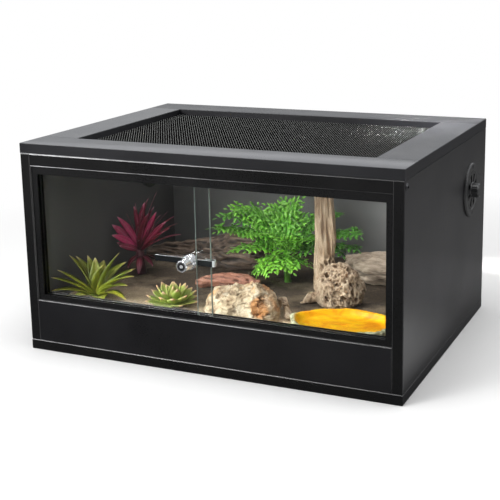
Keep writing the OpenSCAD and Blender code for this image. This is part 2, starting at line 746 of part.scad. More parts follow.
// Boulder: lumpy ball of given half sizes round the origin
module boulder(r, lump, seed, n = 14) {
    m = floor(n / 2);
    function bump(a, e) =
        1 + lump * (sin(3 * a + seed) * cos(2 * e) + 0.6 * sin(5 * a + 2 * seed) * sin(3 * e + seed));
    skin_over([for (k = [0:m]) let (e = -84 + 168 * k / m)
        [for (i = [0:n - 1]) let (a = 360 * i / n, s = bump(a, e))
            [r.x * s * cos(e) * cos(a), r.y * s * cos(e) * sin(a), r.z * s * sin(e)]]]);
}

module sand_bed() color([0.66, 0.55, 0.42])
    translate([-wall, front + board_t, board_t]) cube([inner_w, cabinet_d - 2 * board_t, sand_top - board_t]);

// Shallow oval dish with a scalloped stone rim
module food_dish() {
    function rim(a) = 1 + 0.03 * sin(5 * a) + 0.02 * sin(9 * a + 40);
    function oval(k, z, n = 36) = [for (i = [0:n - 1]) let (a = 360 * i / n)
        [k * dish_l / 2 * rim(a) * cos(a), k * dish_w / 2 * rim(a) * sin(a), z]];
    color([0.93, 0.66, 0.12])
        translate([wall - dish_side - dish_l / 2, front + dish_front + dish_w / 2, sand_top]) rotate(8)
            skin_over([
                oval(0.9, 0), oval(0.99, dish_h * 0.45), oval(1, dish_h * 0.85), oval(0.96, dish_h),
                oval(0.91, dish_h * 0.95), oval(0.84, dish_h * 0.42), oval(0.7, dish_h * 0.3)]);
}

module pitted_rock() color([0.86, 0.74, 0.56])
    above_sand() translate(front_spot([308, 78, 0])) scale(front_k) {
        translate([-12, 0, 14]) boulder([46, 40, 35], 0.08, 20);
        translate([22, 6, 15]) boulder([36, 35, 38], 0.09, 75);
        translate([0, -22, 2]) boulder([50, 22, 20], 0.08, 130, 12);
    }

// Driftwood trunk growing out of a root ball with rotted pits towards the front
module driftwood_trunk() color([0.66, 0.55, 0.43])
    above_sand() translate(spot([393, 206, 0])) difference() {
        ball = bed_k * [29, -14, 22];
        ball_r = bed_k * [39, 33, 42];
        union() {
            // shift to the right, shift to the back, share of the height, radius
            path = [[-3, 2, -0.03, 18], [-4, 0, 0.1, 14.5], [-1, 0, 0.28, 17], [2, 1, 0.5, 18],
                [0, 2, 0.75, 17.5], [-2, 3, 1, 18.5]];
            branch([for (p = path) [p.x * bed_k, p.y * bed_k, p.z * trunk_h]],
                [for (p = path) p[3] * bed_k], [1, 0, 0], 14, 4, 0.09, 0.8);
            translate(ball) boulder(ball_r, 0.07, 10, 16);
            // root running forward to the left
            branch(bed_k * [[-4, -12, 9], [-15, -25, 8], [-25, -36, -2]], bed_k * [9, 8, 5],
                [0, 0, 1], 8, 2, 0.06);
        }
        for (i = [0:4], j = [0:3]) let (out = heading(20 * i - 120, 20 * j - 15 + 8 * (i % 2)))
            translate(ball + 0.97 * [ball_r.x * out.x, ball_r.y * out.y, ball_r.z * out.z])
                sphere(r = bed_k * (5 - 0.5 * ((i + j) % 3)), $fn = 8);
    }

// Log, branch or stick: place and radius of each ring along it
module lying(rings, n, lobes, lobe, flat = 1, side = [0, 0, 1]) branch(
    [for (r = rings) spot(r)], [for (r = rings) r[3] * bed_k], side, n, lobes, lobe, flat);

module rear_log() color([0.55, 0.49, 0.42]) above_sand() {
    lying([[404, 316, 19, 16], [436, 318, 21, 23], [476, 320, 21, 25], [512, 318, 21, 24],
        [556, 314, 18, 14]], 12, 3, 0.08);
    lying([[374, 352, 19, 11], [420, 356, 23, 17], [464, 360, 26, 20], [504, 358, 28, 20],
        [538, 354, 22, 12]], 10, 4, 0.06);
}

module bark_log() color([0.24, 0.17, 0.13]) above_sand() lying(
    [[12, 316, 8, 12], [50, 318, 12, 17], [100, 316, 16, 22], [150, 312, 22, 29],
        [190, 310, 29, 36], [228, 310, 31, 34], [248, 310, 18, 22]], 12, 3, 0.07, 0.78);

module red_branch() color([0.55, 0.27, 0.17]) above_sand() lying(
    [[172, 198, 5, 7], [198, 203, 9, 11], [227, 208, 12, 12], [252, 213, 13, 10], [276, 217, 9, 6]],
    10, 2, 0.1, 1.2);

// Bent stick between the rock and the dish
module arched_stick() color([0.72, 0.54, 0.4]) above_sand() branch(
    [for (p = [[343, 133, 2], [352, 128, 17], [362, 118, 22], [371, 105, 17], [379, 95, 2]])
        front_spot(p)],
    front_k * [4, 5, 5, 4.5, 4], [1, 1, 0], 8, 2, 0.05);

// Leaf tips stay inside the glass and the left wall
function inside(p) = [max(p.x, -wall + 8), max(p.y, front + 26), p.z];

// Spiky plant: azimuth from the right, elevation, share of the longest leaf
agave_leaves = [
    [-8, 22, 0.95], [12, 35, 0.98], [-38, 18, 0.93], [-58, 12, 0.75], [34, 56, 1], [20, 50, 0.78],
    [70, 62, 0.75], [110, 66, 0.72], [140, 70, 0.78], [165, 64, 0.76], [196, 58, 0.84], [214, 46, 0.8],
    [226, 34, 0.76], [236, 20, 0.68], [250, 28, 0.6], [80, 30, 0.7], [-22, 42, 0.7]];
module spiky_plant() color([0.5, 0.62, 0.2]) above_sand() {
    at = front_spot([52, 80, 0]);
    crown = agave_leaf / 10;
    for (l = agave_leaves) let (r = agave_leaf * l[2])
        leaf(at + crown / 2 * [cos(l[0]), sin(l[0]), -0.2],
            inside(at + r * heading(l[0], l[1])), r * 0.07, 0.14 * agave_leaf, 0.027 * agave_leaf);
    translate(at) cylinder(r1 = crown, r2 = crown * 0.45, h = crown * 1.5, $fn = 10);
}

bromeliad_crown = 38;
// Bromeliad: azimuth, elevation, length
bromeliad_leaves = [
    [208, 38, 58], [205, 56, 66], [225, 8, 46], [240, -6, 42], [170, 72, 80], [130, 66, 76],
    [60, 78, 88], [25, 62, 76], [18, 52, 78], [-4, 34, 78], [-22, 24, 70], [-50, 40, 58],
    [-85, 30, 44], [-110, -16, 44], [150, 40, 55], [90, 50, 58]];
module bromeliad() color([0.5, 0.1, 0.25]) above_sand() translate(spot([58, 232, 0])) scale(bed_k) {
    for (l = bromeliad_leaves)
        leaf([5 * cos(l[0]), 5 * sin(l[0]), bromeliad_crown],
            [0, 0, bromeliad_crown] + l[2] * heading(l[0], l[1]), l[2] * 0.12, 15, 2.5);
    cylinder(r1 = 13, r2 = 8, h = bromeliad_crown + 8, $fn = 10);
}

// Succulent rosette: rings of leaves, each with its count, elevation, reach and turn
module succulent() color([0.56, 0.68, 0.32])
    above_sand() translate(front_spot([182, 96, 0])) scale(front_k) {
        for (ring = [[8, 14, 42, 0], [7, 36, 36, 24], [5, 60, 28, 10]], i = [0:ring[0] - 1])
            let (a = 360 * i / ring[0] + ring[3])
                leaf([4 * cos(a), 4 * sin(a), 4], [0, 0, 5] + ring[2] * heading(a, ring[1]),
                    ring[2] * 0.08, 17, 5, 5, 0.6);
        cylinder(r1 = 9, r2 = 6, h = 12, $fn = 10);
    }

fern_crown = 52;
// Fern: azimuth, elevation, length, width of a frond
fern_fronds = [
    [178, 18, 118, 34], [168, 40, 112, 34], [150, 55, 96, 34], [110, 62, 84, 32], [70, 66, 86, 30],
    [40, 52, 92, 32], [14, 38, 112, 30], [2, 12, 110, 30], [-30, 26, 60, 34], [-68, 12, 60, 34],
    [-110, 16, 62, 36], [-140, -22, 64, 36], [200, 24, 84, 36], [-52, -14, 52, 30]];
module fern() color([0.2, 0.55, 0.18]) above_sand() translate(spot([303, 276, 0])) scale(bed_k) {
    for (l = fern_fronds)
        leaf([3 * cos(l[0]), 3 * sin(l[0]), fern_crown], [0, 0, fern_crown] + l[2] * heading(l[0], l[1]),
            l[2] * 0.16, l[3], 3, 5, 0.35);
    cylinder(r1 = 6, r2 = 5, h = fern_crown + 4, $fn = 8);
}

// ---------------------------------------------------------------- nodes

base_panel();
left_side_panel();
right_side_panel();
back_panel();
front_fascia();
upper_rail();
top_front_rail();
top_rear_rail();
top_left_rail();
top_right_rail();
mesh_frame();
mesh_screen();
lower_track();
upper_track();
left_jamb_trim();
right_jamb_trim();
base_screws();
rail_screws();
frame_dowels();
fascia_dowels();
cam_bolts();
cam_discs();
left_vent_flange();
right_vent_flange();
left_vent_shutter();
right_vent_shutter();
left_vent_ring();
right_vent_ring();
vent_pins();
vent_screws();
left_glass_door();
right_glass_door();
lock_blade();
hook_liner();
lock_barrel();
lock_bezel();
lock_plug();
lock_pawl();
sand_bed();
food_dish();
pitted_rock();
driftwood_trunk();
rear_log();
bark_log();
red_branch();
arched_stick();
spiky_plant();
bromeliad();
succulent();
fern();
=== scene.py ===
"""Reptile terrarium: laminate cabinet, mesh top, sliding doors, showcase lock, planted bed."""

import json
import math
import random

import bmesh
import bpy
from mathutils import Matrix, Vector, noise


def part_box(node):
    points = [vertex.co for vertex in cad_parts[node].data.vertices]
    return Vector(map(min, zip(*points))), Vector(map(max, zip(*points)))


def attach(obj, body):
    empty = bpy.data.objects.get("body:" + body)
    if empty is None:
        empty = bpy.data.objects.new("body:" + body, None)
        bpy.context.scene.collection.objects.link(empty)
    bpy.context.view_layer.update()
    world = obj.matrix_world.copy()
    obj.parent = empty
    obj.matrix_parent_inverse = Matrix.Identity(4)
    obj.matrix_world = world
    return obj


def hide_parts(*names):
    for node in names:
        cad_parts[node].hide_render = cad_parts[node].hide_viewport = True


noise.seed_set(1)  # noise_vector would otherwise change from run to run

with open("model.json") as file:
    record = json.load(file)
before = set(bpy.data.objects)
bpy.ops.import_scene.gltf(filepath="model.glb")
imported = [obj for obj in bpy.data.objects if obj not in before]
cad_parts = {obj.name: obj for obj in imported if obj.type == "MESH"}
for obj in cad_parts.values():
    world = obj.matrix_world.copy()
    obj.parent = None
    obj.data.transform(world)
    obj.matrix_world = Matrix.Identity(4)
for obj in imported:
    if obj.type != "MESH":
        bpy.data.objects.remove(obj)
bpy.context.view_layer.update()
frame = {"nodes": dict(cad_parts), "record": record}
NODES = frame["nodes"]
MM = 0.001
UP = Vector((0, 0, 1))
# Places in the bed are written in mm from the left wall's outer face, the front plane and the floor
CORNER = Vector((-300, -225, 0))


# ---- node trees


def fresh_tree(owner):
    """Empty node tree of a material or world."""
    owner.use_nodes = True
    owner.node_tree.nodes.clear()
    return owner.node_tree


def spaced(values):
    """Underscores in a socket's name stand for spaces."""
    return {key.replace("_", " "): value for key, value in values.items()}


class Wiring:
    """Adds nodes to one tree. All but node and either give back sockets for the next call."""

    def __init__(self, tree):
        self.tree = tree

    def plug(self, socket, value):
        if isinstance(value, bpy.types.NodeSocket):
            self.tree.links.new(value, socket)
        elif value is not None:
            socket.default_value = (*value, 1) if socket.type == "RGBA" else value

    def node(self, kind, inputs=(), **settings):
        made = self.tree.nodes.new("ShaderNode" + kind)
        for key, value in settings.items():
            setattr(made, key, value)
        for key, value in dict(inputs).items():
            self.plug(made.inputs[key], value)
        return made

    def place(self, kind="Object"):
        return self.node("TexCoord").outputs[kind]

    def stretch(self, scale, turn=(0, 0, 0)):
        return self.node("Mapping", {
            "Vector": self.place(), "Scale": scale, "Rotation": turn}).outputs[0]

    def noise(self, scale, detail, rough, warp=0, at=None):
        """Noise of that many features a metre, at the place on the piece or at another vector."""
        return self.node("TexNoise", {
            "Vector": self.place() if at is None else at, "Scale": scale, "Detail": detail,
            "Roughness": rough, "Distortion": warp,
        }).outputs["Fac"]

    def math(self, operation, a, b=None, clamp=False):
        return self.node("Math", {0: a, 1: b}, operation=operation, use_clamp=clamp).outputs[0]

    def times(self, a, b, clamp=False):
        return self.math("MULTIPLY", a, b, clamp)

    def plus(self, a, b, clamp=False):
        return self.math("ADD", a, b, clamp)

    def vector(self, operation, a, b=None, out=0):
        return self.node("VectorMath", {0: a, 1: b}, operation=operation).outputs[out]

    def span(self, value, low, high, to_low=0.0, to_high=1.0):
        return self.node("MapRange", {
            "Value": value, "From Min": low, "From Max": high, "To Min": to_low, "To Max": to_high,
        }).outputs[0]

    def vary(self, field, low, high):
        """The usual range of a noise field, spread from low to high."""
        return self.span(field, 0.3, 0.7, low, high)

    def mix(self, share, a, b, mode="MIX"):
        """Mix of two colours, which are the node's inputs 6 and 7 and its output 2."""
        mixed = self.node("Mix", {0: share, 6: a, 7: b}, data_type="RGBA", blend_type=mode)
        return mixed.outputs[2]

    def either(self, share, first, second):
        """Mix of two shader nodes."""
        return self.node("MixShader", {0: share, 1: first.outputs[0], 2: second.outputs[0]})

    def ramp(self, value, stops):
        made = self.node("ValToRGB", {"Fac": value})
        stop = made.color_ramp.elements
        while len(stop) < len(stops):
            stop.new(1)
        for one, (at, colour) in zip(stop, stops):
            one.position = at
            one.color = (*colour, 1)
        return made.outputs[0]

    def split(self, vector):
        return self.node("SeparateXYZ", {"Vector": vector}).outputs

    def stored(self, name):
        """Number that the mesh keeps at each point."""
        return self.node("Attribute", attribute_name=name).outputs["Fac"]

    def use(self, group, **values):
        return self.node("Group", spaced(values), node_tree=group).outputs


def effect(name, inputs, outputs):
    """Empty shader node group. Its inputs are numbers with a default, or vectors where that is
    None, and its outputs are numbers."""
    tree = bpy.data.node_groups.new(name, "ShaderNodeTree")
    for key, value in inputs.items():
        kind = "NodeSocket" + ("Vector" if value is None else "Float")
        socket = tree.interface.new_socket(key, in_out="INPUT", socket_type=kind)
        if value is not None:
            socket.default_value = value
    for key in outputs:
        tree.interface.new_socket(key, in_out="OUTPUT", socket_type="NodeSocketFloat")
    given, out = tree.nodes.new("NodeGroupInput").outputs, tree.nodes.new("NodeGroupOutput").inputs
    return Wiring(tree), given, out


def make_laminate_grain():
    w, given, out = effect("Laminate grain", {"Vector": None, "Pore size": 1.0, "Mottle": 1.0},
                           ("Height", "Gloss change", "Tone"))
    fine = w.noise(w.math("DIVIDE", 900.0, given["Pore size"]), 4, 0.6, at=given["Vector"])
    broad = w.noise(7, 3, 0.5, at=given["Vector"])
    w.plug(out["Height"], fine)
    w.plug(out["Gloss change"], w.plus(w.vary(broad, -0.04, 0.04), w.vary(fine, -0.05, 0.05)))
    spread = w.times(given["Mottle"], 0.35)
    w.plug(out["Tone"], w.plus(1.0, w.times(spread, w.vary(broad, -1, 1))))
    return w.tree


def make_dust():
    w, given, out = effect("Dust on top", {"Amount": 0.3, "Patch scale": 30.0}, ("Mask",))
    up = w.split(w.node("NewGeometry").outputs["Normal"])[2]
    patch = w.noise(given["Patch scale"], 5, 0.65)
    speck = w.noise(1400, 1, 0.5)
    lying = w.times(w.span(up, 0.6, 1.0), w.span(patch, 0.42, 0.75))
    lying = w.times(lying, w.span(speck, 0.4, 0.65))
    w.plug(out["Mask"], w.times(lying, given["Amount"], clamp=True))
    return w.tree


LAMINATE_GRAIN = make_laminate_grain()
DUST = make_dust()
DUST_TONE = (0.34, 0.33, 0.31)


class Coating(Wiring):
    """Material with one Principled shader."""

    def __init__(self, name, **sockets):
        self.material = bpy.data.materials.new(name)
        super().__init__(fresh_tree(self.material))
        self.shader = self.node("BsdfPrincipled", spaced(sockets))
        self.node("OutputMaterial", {0: self.shader.outputs[0]})

    def done(self, colour, rough, height, depth_mm, strength):
        """Joins up colour, roughness and bump, and gives back the material."""
        depth = depth_mm * MM
        bump = self.node("Bump", {"Height": height, "Strength": strength, "Distance": depth})
        ends = {"Base Color": colour, "Roughness": rough, "Normal": bump.outputs[0]}
        for key, value in ends.items():
            self.plug(self.shader.inputs[key], value)
        return self.material


def grained(name, tone, rough, depth_mm=0.05, pore=1.0, mottle=0.8, dust=0.15, specular=0.5):
    """Board or moulding with a fine pressed grain, a little mottle and dust on what faces up."""
    w = Coating(name, Specular_IOR_Level=specular)
    grain = w.use(LAMINATE_GRAIN, Vector=w.place(), Pore_size=pore, Mottle=mottle)
    dusty = w.use(DUST, Amount=dust)["Mask"]
    plain = w.mix(1.0, tone, grain["Tone"], "MULTIPLY")
    return w.done(
        w.mix(dusty, plain, DUST_TONE),
        w.plus(w.plus(rough, grain["Gloss change"]), w.times(dusty, 0.4)),
        grain["Height"], depth_mm, 0.6)


# ---- finishes of the cabinet

board_black = grained("board_black", (0.0048, 0.0047, 0.0058), 0.33, mottle=1.0, specular=0.4)
frame_black = grained("frame_black", (0.0085, 0.0086, 0.0105), 0.34)
frame_sheen = grained("frame_sheen", (0.0110, 0.0112, 0.0142), 0.32, specular=0.7)
frame_satin = grained("frame_satin", (0.0085, 0.0086, 0.0105), 0.40, specular=0.25)
frame_front = grained("frame_front", (0.0080, 0.0082, 0.0098), 0.42, dust=0.0, specular=0.22)
rail_black = grained("rail_black", (0.0045, 0.0045, 0.0047), 0.3, 0.04, mottle=0.6, dust=0.05,
                     specular=0.2)
# Inner faces: the same black laminate in a much lighter grey, as painted light inside the cabinet;
# the back wall's inner face is lighter still
inner_board_painted_light = grained("inner_board_painted_light", (0.085,) * 3, 0.6, 0.04, mottle=0.5, dust=0.0)
back_board_painted_light = grained("back_board_painted_light", (0.215,) * 3, 0.6, 0.04, mottle=0.5, dust=0.0)
plastic_black = grained("plastic_black", (0.014, 0.0142, 0.0146), 0.38, 0.06, 0.6, 0.5, 0.1, 0.42)
track_black = grained("track_black", (0.004, 0.004, 0.0043), 0.28, 0.03, 0.5, 0.4, 0.05, 0.35)
rubber = grained("rubber_black", (0.012,) * 3, 0.7, 0.05, 0.5, 0.5, 0.1)


def make_arris(name, dull, bright, right_share, dim_by=0.18):
    """Trimmed edge of the laminate, painted paler than the face in stretches as a painted
    highlight.
    From the left-hand end this painted highlight dims to right_share by x = dim_by."""
    w = Coating(name)
    highlight_patches = w.noise(26, 5, 0.6)
    fine = w.noise(700, 3, 0.6)
    highlight_fade = w.span(w.split(w.place())[0], CORNER.x * MM, dim_by, 1, right_share)
    painted_highlight = w.mix(w.span(highlight_patches, 0.36, 0.58), *((tone, tone, tone * 1.02) for tone in (dull, bright)))
    return w.done(w.mix(1.0, painted_highlight, highlight_fade, "MULTIPLY"), w.vary(fine, 0.3, 0.45), fine, 0.02, 0.4)


# Arris finishes: painted highlights along the boards' eased edges
board_arris = make_arris("board_arris", 0.04, 0.10, 0.45)
panel_arris = make_arris("panel_arris", 0.014, 0.035, 0.7)
slab_arris = make_arris("slab_arris", 0.24, 0.52, 0.03, 0.04)
rail_arris = make_arris("rail_arris", 0.26, 0.55, 0.05, 0.13)

MESH_LEVEL = sum(corner.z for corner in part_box("mesh_screen")) / 2


def make_mesh_finish():
    """Matte black wire with a painted grey highlight where the weave stands proud."""
    w = Coating("mesh_black", Specular_IOR_Level=0.0)
    fine = w.noise(900, 3, 0.6)
    above = w.math("SUBTRACT", w.split(w.place())[2], MESH_LEVEL)
    # painted highlight on the raised parts of the crimped wires
    painted_highlight = w.times(w.span(above, 0.22 * MM, 0.54 * MM), w.span(fine, 0.25, 0.6, 0.75, 1.0))
    return w.done(w.mix(painted_highlight, (0.0015, 0.0016, 0.0016), (0.21, 0.215, 0.21)),
                  w.vary(fine, 0.6, 0.8), fine, 0.01, 0.3)


def make_metal(name, tone, rough, brushed=(1, 1, 1), scratch=0.12, metallic=1.0, specular=0.5):
    """Metal with fine lines along the longest direction of its scale, and small stains."""
    w = Coating(name, Metallic=metallic, Specular_IOR_Level=specular)
    lines = w.noise(1800, 3, 0.7, at=w.stretch(brushed))
    stain = w.noise(160, 4, 0.6)
    marked = w.plus(w.vary(lines, -scratch, scratch), w.span(stain, 0.4, 0.7, 0, 0.06))
    return w.done(w.mix(w.span(stain, 0.45, 0.75, 0, 0.35), tone, tuple(c * 0.7 for c in tone)),
                  w.plus(rough, marked, clamp=True), lines, 0.01, 0.3)


def make_plug_face():
    """Bright plug whose face turns near black in an outer ring, round its keyway."""
    low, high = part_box("lock_plug")
    w = Coating("plug_nickel", Metallic=0.5)
    aside = w.vector("SUBTRACT", w.place(), (low + high) / 2)
    away = w.vector("LENGTH", w.vector("MULTIPLY", aside, (1, 0, 1)), out="Value")
    half = (high.x - low.x) / 2
    ring = w.span(away, half * 0.5, half * 0.62)
    marks = w.noise(1800, 3, 0.7)
    return w.done(w.mix(ring, (0.72, 0.73, 0.74), (0.012, 0.012, 0.013)),
                  w.vary(marks, 0.22, 0.34), marks, 0.01, 0.3)


def make_beech():
    w = Coating("beech")
    fibre = w.noise(900, 5, 0.6, at=w.stretch((1, 1, 0.08)))
    return w.done(w.ramp(fibre, [(0.3, (0.42, 0.27, 0.14)), (0.7, (0.62, 0.44, 0.26))]),
                  w.span(fibre, 0, 1, 0.5, 0.75), fibre, 0.1, 0.5)


def make_pane_glass():
    """Clear pane that lets lamps through."""
    made = bpy.data.materials.new("door_glass")
    w = Wiring(fresh_tree(made))
    shader = w.node("BsdfPrincipled", {
        "Base Color": (0.975, 0.99, 0.983), "Roughness": 0.0, "IOR": 1.5,
        "Transmission Weight": 1.0})
    through = w.node("BsdfTransparent", {"Color": (0.95, 0.975, 0.965)})
    both = w.either(w.node("LightPath").outputs["Is Shadow Ray"], shader, through)
    w.node("OutputMaterial", {0: both.outputs[0]})
    return made


def make_ground_edge():
    w = Coating("ground_edge")
    marks = w.noise(2500, 3, 0.6, at=w.stretch((1, 1, 0.03)))
    return w.done(w.ramp(marks, [(0.3, (0.17, 0.235, 0.21)), (0.7, (0.34, 0.42, 0.385))]),
                  w.span(marks, 0, 1, 0.25, 0.5), marks, 0.03, 0.5)


mesh_black = make_mesh_finish()
ALONG_X = (0.02, 1, 1)
SLOT_FINISHES = {
    "board_black": board_black, "rail_black": rail_black, "plastic_black": plastic_black,
    "mesh_black": mesh_black, "door_glass": make_pane_glass(), "rubber_black": rubber,
    "beech": make_beech(),
    "lock_chrome": make_metal("lock_chrome", (0.90, 0.91, 0.93), 0.1, scratch=0.03, metallic=0.85),
    "blade_steel": make_metal("blade_steel", (0.005, 0.006, 0.007), 0.36, ALONG_X, 0.08, 0.0, 0.15),
    "fixing_steel": make_metal("fixing_steel", (0.55, 0.56, 0.58), 0.32),
    "fixing_black": make_metal("fixing_black", (0.035, 0.035, 0.037), 0.35),
}
for subpart in frame["record"]["subparts"]:
    if subpart["material_slot"] in SLOT_FINISHES:
        materials = NODES[subpart["node"]].data.materials
        materials.clear()
        materials.append(SLOT_FINISHES[subpart["material_slot"]])

for name in ("lower_track", "upper_track", "left_jamb_trim", "right_jamb_trim"):
    NODES[name].data.materials[0] = track_black
NODES["lock_plug"].data.materials[0] = make_plug_face()

FACING = 0.9  # least part of a face's normal that lies along the way it faces


def add_finish(node, finish, takes):
    """Second finish, on those faces of a CAD node that takes(normal) picks."""
    data = NODES[node].data
    data.materials.append(finish)
    for face in data.polygons:
        face.material_index = int(takes(face.normal))


def edgewise(normal):
    return abs(normal.y) <= FACING


ground_edge = make_ground_edge()
# the back wall's inner face takes the lighter grey of painted light
add_finish("back_panel", back_board_painted_light, lambda normal: normal.y < -FACING)
add_finish("left_glass_door", ground_edge, edgewise)
add_finish("right_glass_door", ground_edge, edgewise)
# bright metal edges and teeth round the blade's black face, painted pale as a highlight
blade_arris = make_metal("blade_arris", (0.86, 0.88, 0.90), 0.2, ALONG_X, 0.06, 0.45)
add_finish("lock_blade", blade_arris, edgewise)


def add_object(name, data):
    made = bpy.data.objects.new(name, data)
    bpy.context.scene.collection.objects.link(made)
    return made


def mesh_of(name, body):
    data = bpy.data.meshes.new(name)
    body.to_mesh(data)
    body.free()
    return data


def store(data, name, values):
    """Number for each point of a mesh, which its finish can read."""
    data.attributes.new(name, "FLOAT", "POINT").data.foreach_set("value", values)


def stand_for(piece, node):
    """The piece rides on the cabinet and stands for that CAD node, which it hides."""
    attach(piece, "cabinet")
    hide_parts(node)


# ---- boards with eased edges

SHARP_WITHIN = 0.85  # a solid's own roundings up to this, in mm, are squared off first
ON_WALL = 0.01
WELD = 1e-6
FLAT_WITHIN = math.radians(1)
STRAIGHT = 0.99  # least part of an edge that lies along its axis


def eased_board(node, finish, ease_mm, runs, pale=None, faced=(),
                arris=board_arris):
    """Copy of a CAD board with wider eased edges along the axes in runs. pale(spot, normal) says
    which eased edges take the arris finish, a painted highlight. faced pairs the way of a face with
    its own finish."""
    low, high = [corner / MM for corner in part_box(node)]
    board = bmesh.new()
    board.from_mesh(NODES[node].data)
    for vert in board.verts:
        for axis in range(3):
            for wall in (low[axis], high[axis]):
                if abs(vert.co[axis] / MM - wall) < SHARP_WITHIN:
                    vert.co[axis] = wall * MM
    bmesh.ops.remove_doubles(board, verts=board.verts, dist=WELD)
    bmesh.ops.dissolve_degenerate(board, edges=board.edges, dist=WELD)
    bmesh.ops.dissolve_limit(board, angle_limit=FLAT_WITHIN, verts=board.verts, edges=board.edges)
    chosen = []
    for edge in board.edges:
        way = edge.verts[1].co - edge.verts[0].co
        middle = (edge.verts[1].co + edge.verts[0].co) / 2 / MM
        for axis in runs:
            if abs(way[axis]) > STRAIGHT * way.length and all(
                    min(abs(middle[i] - low[i]), abs(middle[i] - high[i])) < ON_WALL
                    for i in range(3) if i != axis):
                chosen.append(edge)
    for face in board.faces:
        face.material_index = 0
        for index, (way, own) in enumerate(faced, 2):
            if face.normal.dot(Vector(way)) > FACING:
                face.material_index = index
    made = bmesh.ops.bevel(board, geom=chosen, offset=ease_mm * MM, segments=2, profile=0.5,
                           affect="EDGES", clamp_overlap=True, material=1)
    for face in made["faces"]:
        if not (pale and pale(face.calc_center_median() / MM, face.normal)):
            face.material_index = 0
    data = mesh_of(node + "_eased", board)
    for material in (finish, arris, *(own for way, own in faced)):
        data.materials.append(material)
    stand_for(add_object(node + "_eased", data), node)


# Edges ahead of FRONT, in mm, are at the front of the cabinet, and those past BEHIND_FRONT aren't.
# LOOKS is the least part of an edge's normal along the way it looks.
FRONT, BEHIND_FRONT = -200, -180
LOOKS = 0.2


# The edge pickers below choose the eased edges that take the arris finish's painted highlight.
def upper_front_edge(spot, normal):
    return spot.y < FRONT and normal.z > LOOKS


def rail_front_edges(spot, normal):
    return spot.y < FRONT and abs(normal.z) > LOOKS


def slab_edges(spot, normal):
    """Lower front edge and upper rear edge of the top's front board."""
    return spot.y < FRONT and normal.z < -LOOKS or spot.y > BEHIND_FRONT and normal.z > LOOKS


def panel_edges(inward):
    """Front edges of a side panel, on top and on its inner side."""
    def pale(spot, normal):
        return spot.y < FRONT and (normal.z > LOOKS or normal.x * inward > LOOKS)
    return pale


AHEAD, BEHIND, LEFT, RIGHT = (0, -1, 0), (0, 1, 0), (-1, 0, 0), (1, 0, 0)
BLACK_FRONT = (AHEAD, rail_black)


def outer_faces(*ways):
    return tuple((way, frame_front) for way in ways)


eased_board("base_panel", board_black, 1.4, (0, 1), upper_front_edge, faced=(BLACK_FRONT,))
eased_board("front_fascia", board_black, 1.2, (0, 2), upper_front_edge)
eased_board("top_front_rail", frame_sheen, 0.8, (0, 1), slab_edges,
            faced=outer_faces(AHEAD, LEFT, RIGHT), arris=slab_arris)
eased_board("top_rear_rail", frame_satin, 1.0, (0, 1),
            faced=outer_faces(BEHIND, LEFT, RIGHT))
eased_board("top_left_rail", frame_black, 1.0, (1,), faced=outer_faces(LEFT))
eased_board("top_right_rail", frame_satin, 1.0, (1,), faced=outer_faces(RIGHT))
for side, inner_way in (("left", RIGHT), ("right", LEFT)):
    eased_board(side + "_side_panel", board_black, 1.0, (0, 2), panel_edges(inner_way[0]),
                faced=((inner_way, inner_board_painted_light), BLACK_FRONT), arris=panel_arris)
eased_board("upper_rail", rail_black, 1.3, (0,), rail_front_edges, arris=rail_arris)


# ---- woven top mesh


def tube_faces(start, rings, corners):
    """Faces of a closed tube whose points lie in rings one after another, from start on."""
    faces = []
    for k in range(rings - 1):
        for c in range(corners):
            a, b = start + k * corners + c, start + k * corners + (c + 1) % corners
            faces.append((a, b, b + corners, a + corners))
    faces.append(tuple(start + c for c in range(corners - 1, -1, -1)))
    faces.append(tuple(start + (rings - 1) * corners + c for c in range(corners)))
    return faces


# straight wires along x, and wires along y that pass over and under them
WIRE_PITCH = (2.1 * MM, 3.7 * MM)
STRAIGHT_HALF = (0.2 * MM, 0.2 * MM)
CRIMPED_HALF = (0.37 * MM, 0.2 * MM)
WEAVE_RISE = 0.39 * MM


def weave_mesh():
    low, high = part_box("mesh_screen")
    lanes = [round((high[i] - low[i]) / WIRE_PITCH[i]) for i in (0, 1)]
    steps = [(high[i] - low[i]) / lanes[i] for i in (0, 1)]
    verts, faces = [], []

    def bar(spots, across, half):
        """Square wire along spots, whose width lies along the axis across."""
        faces.extend(tube_faces(len(verts), len(spots), 4))
        for spot in spots:
            for p, q in ((-1, -1), (1, -1), (1, 1), (-1, 1)):
                corner = list(spot)
                corner[across] += p * half[0] * (1 if across else -1)
                corner[2] += q * half[1]
                verts.append(corner)

    for row in range(lanes[1]):
        y = low.y + (row + 0.5) * steps[1]
        bar([(x, y, MESH_LEVEL) for x in (low.x, high.x)], 1, STRAIGHT_HALF)
    for lane in range(lanes[0]):
        x = low.x + (lane + 0.5) * steps[0]
        spots = []
        for k in range(-1, lanes[1] + 1):
            y = min(max(low.y + (k + 0.5) * steps[1], low.y), high.y)
            side = 0 if k in (-1, lanes[1]) else 1 if (lane + k) % 2 else -1
            spots.append((x, y, MESH_LEVEL + WEAVE_RISE * side))
        bar(spots, 0, CRIMPED_HALF)
    data = bpy.data.meshes.new("top_mesh")
    data.from_pydata(verts, [], faces)
    data.materials.append(mesh_black)
    stand_for(add_object("top_mesh", data), "mesh_screen")


weave_mesh()

# ---- leaves


def bed(x, y, z):
    """Place in the bed, from mm off CORNER."""
    return (Vector((x, y, z)) + CORNER) * MM


def upward(way):
    return -way if way.z < 0 else way


def bezier(a, b, c, t):
    return a * (1 - t) ** 2 + b * (2 * t * (1 - t)) + c * t**2


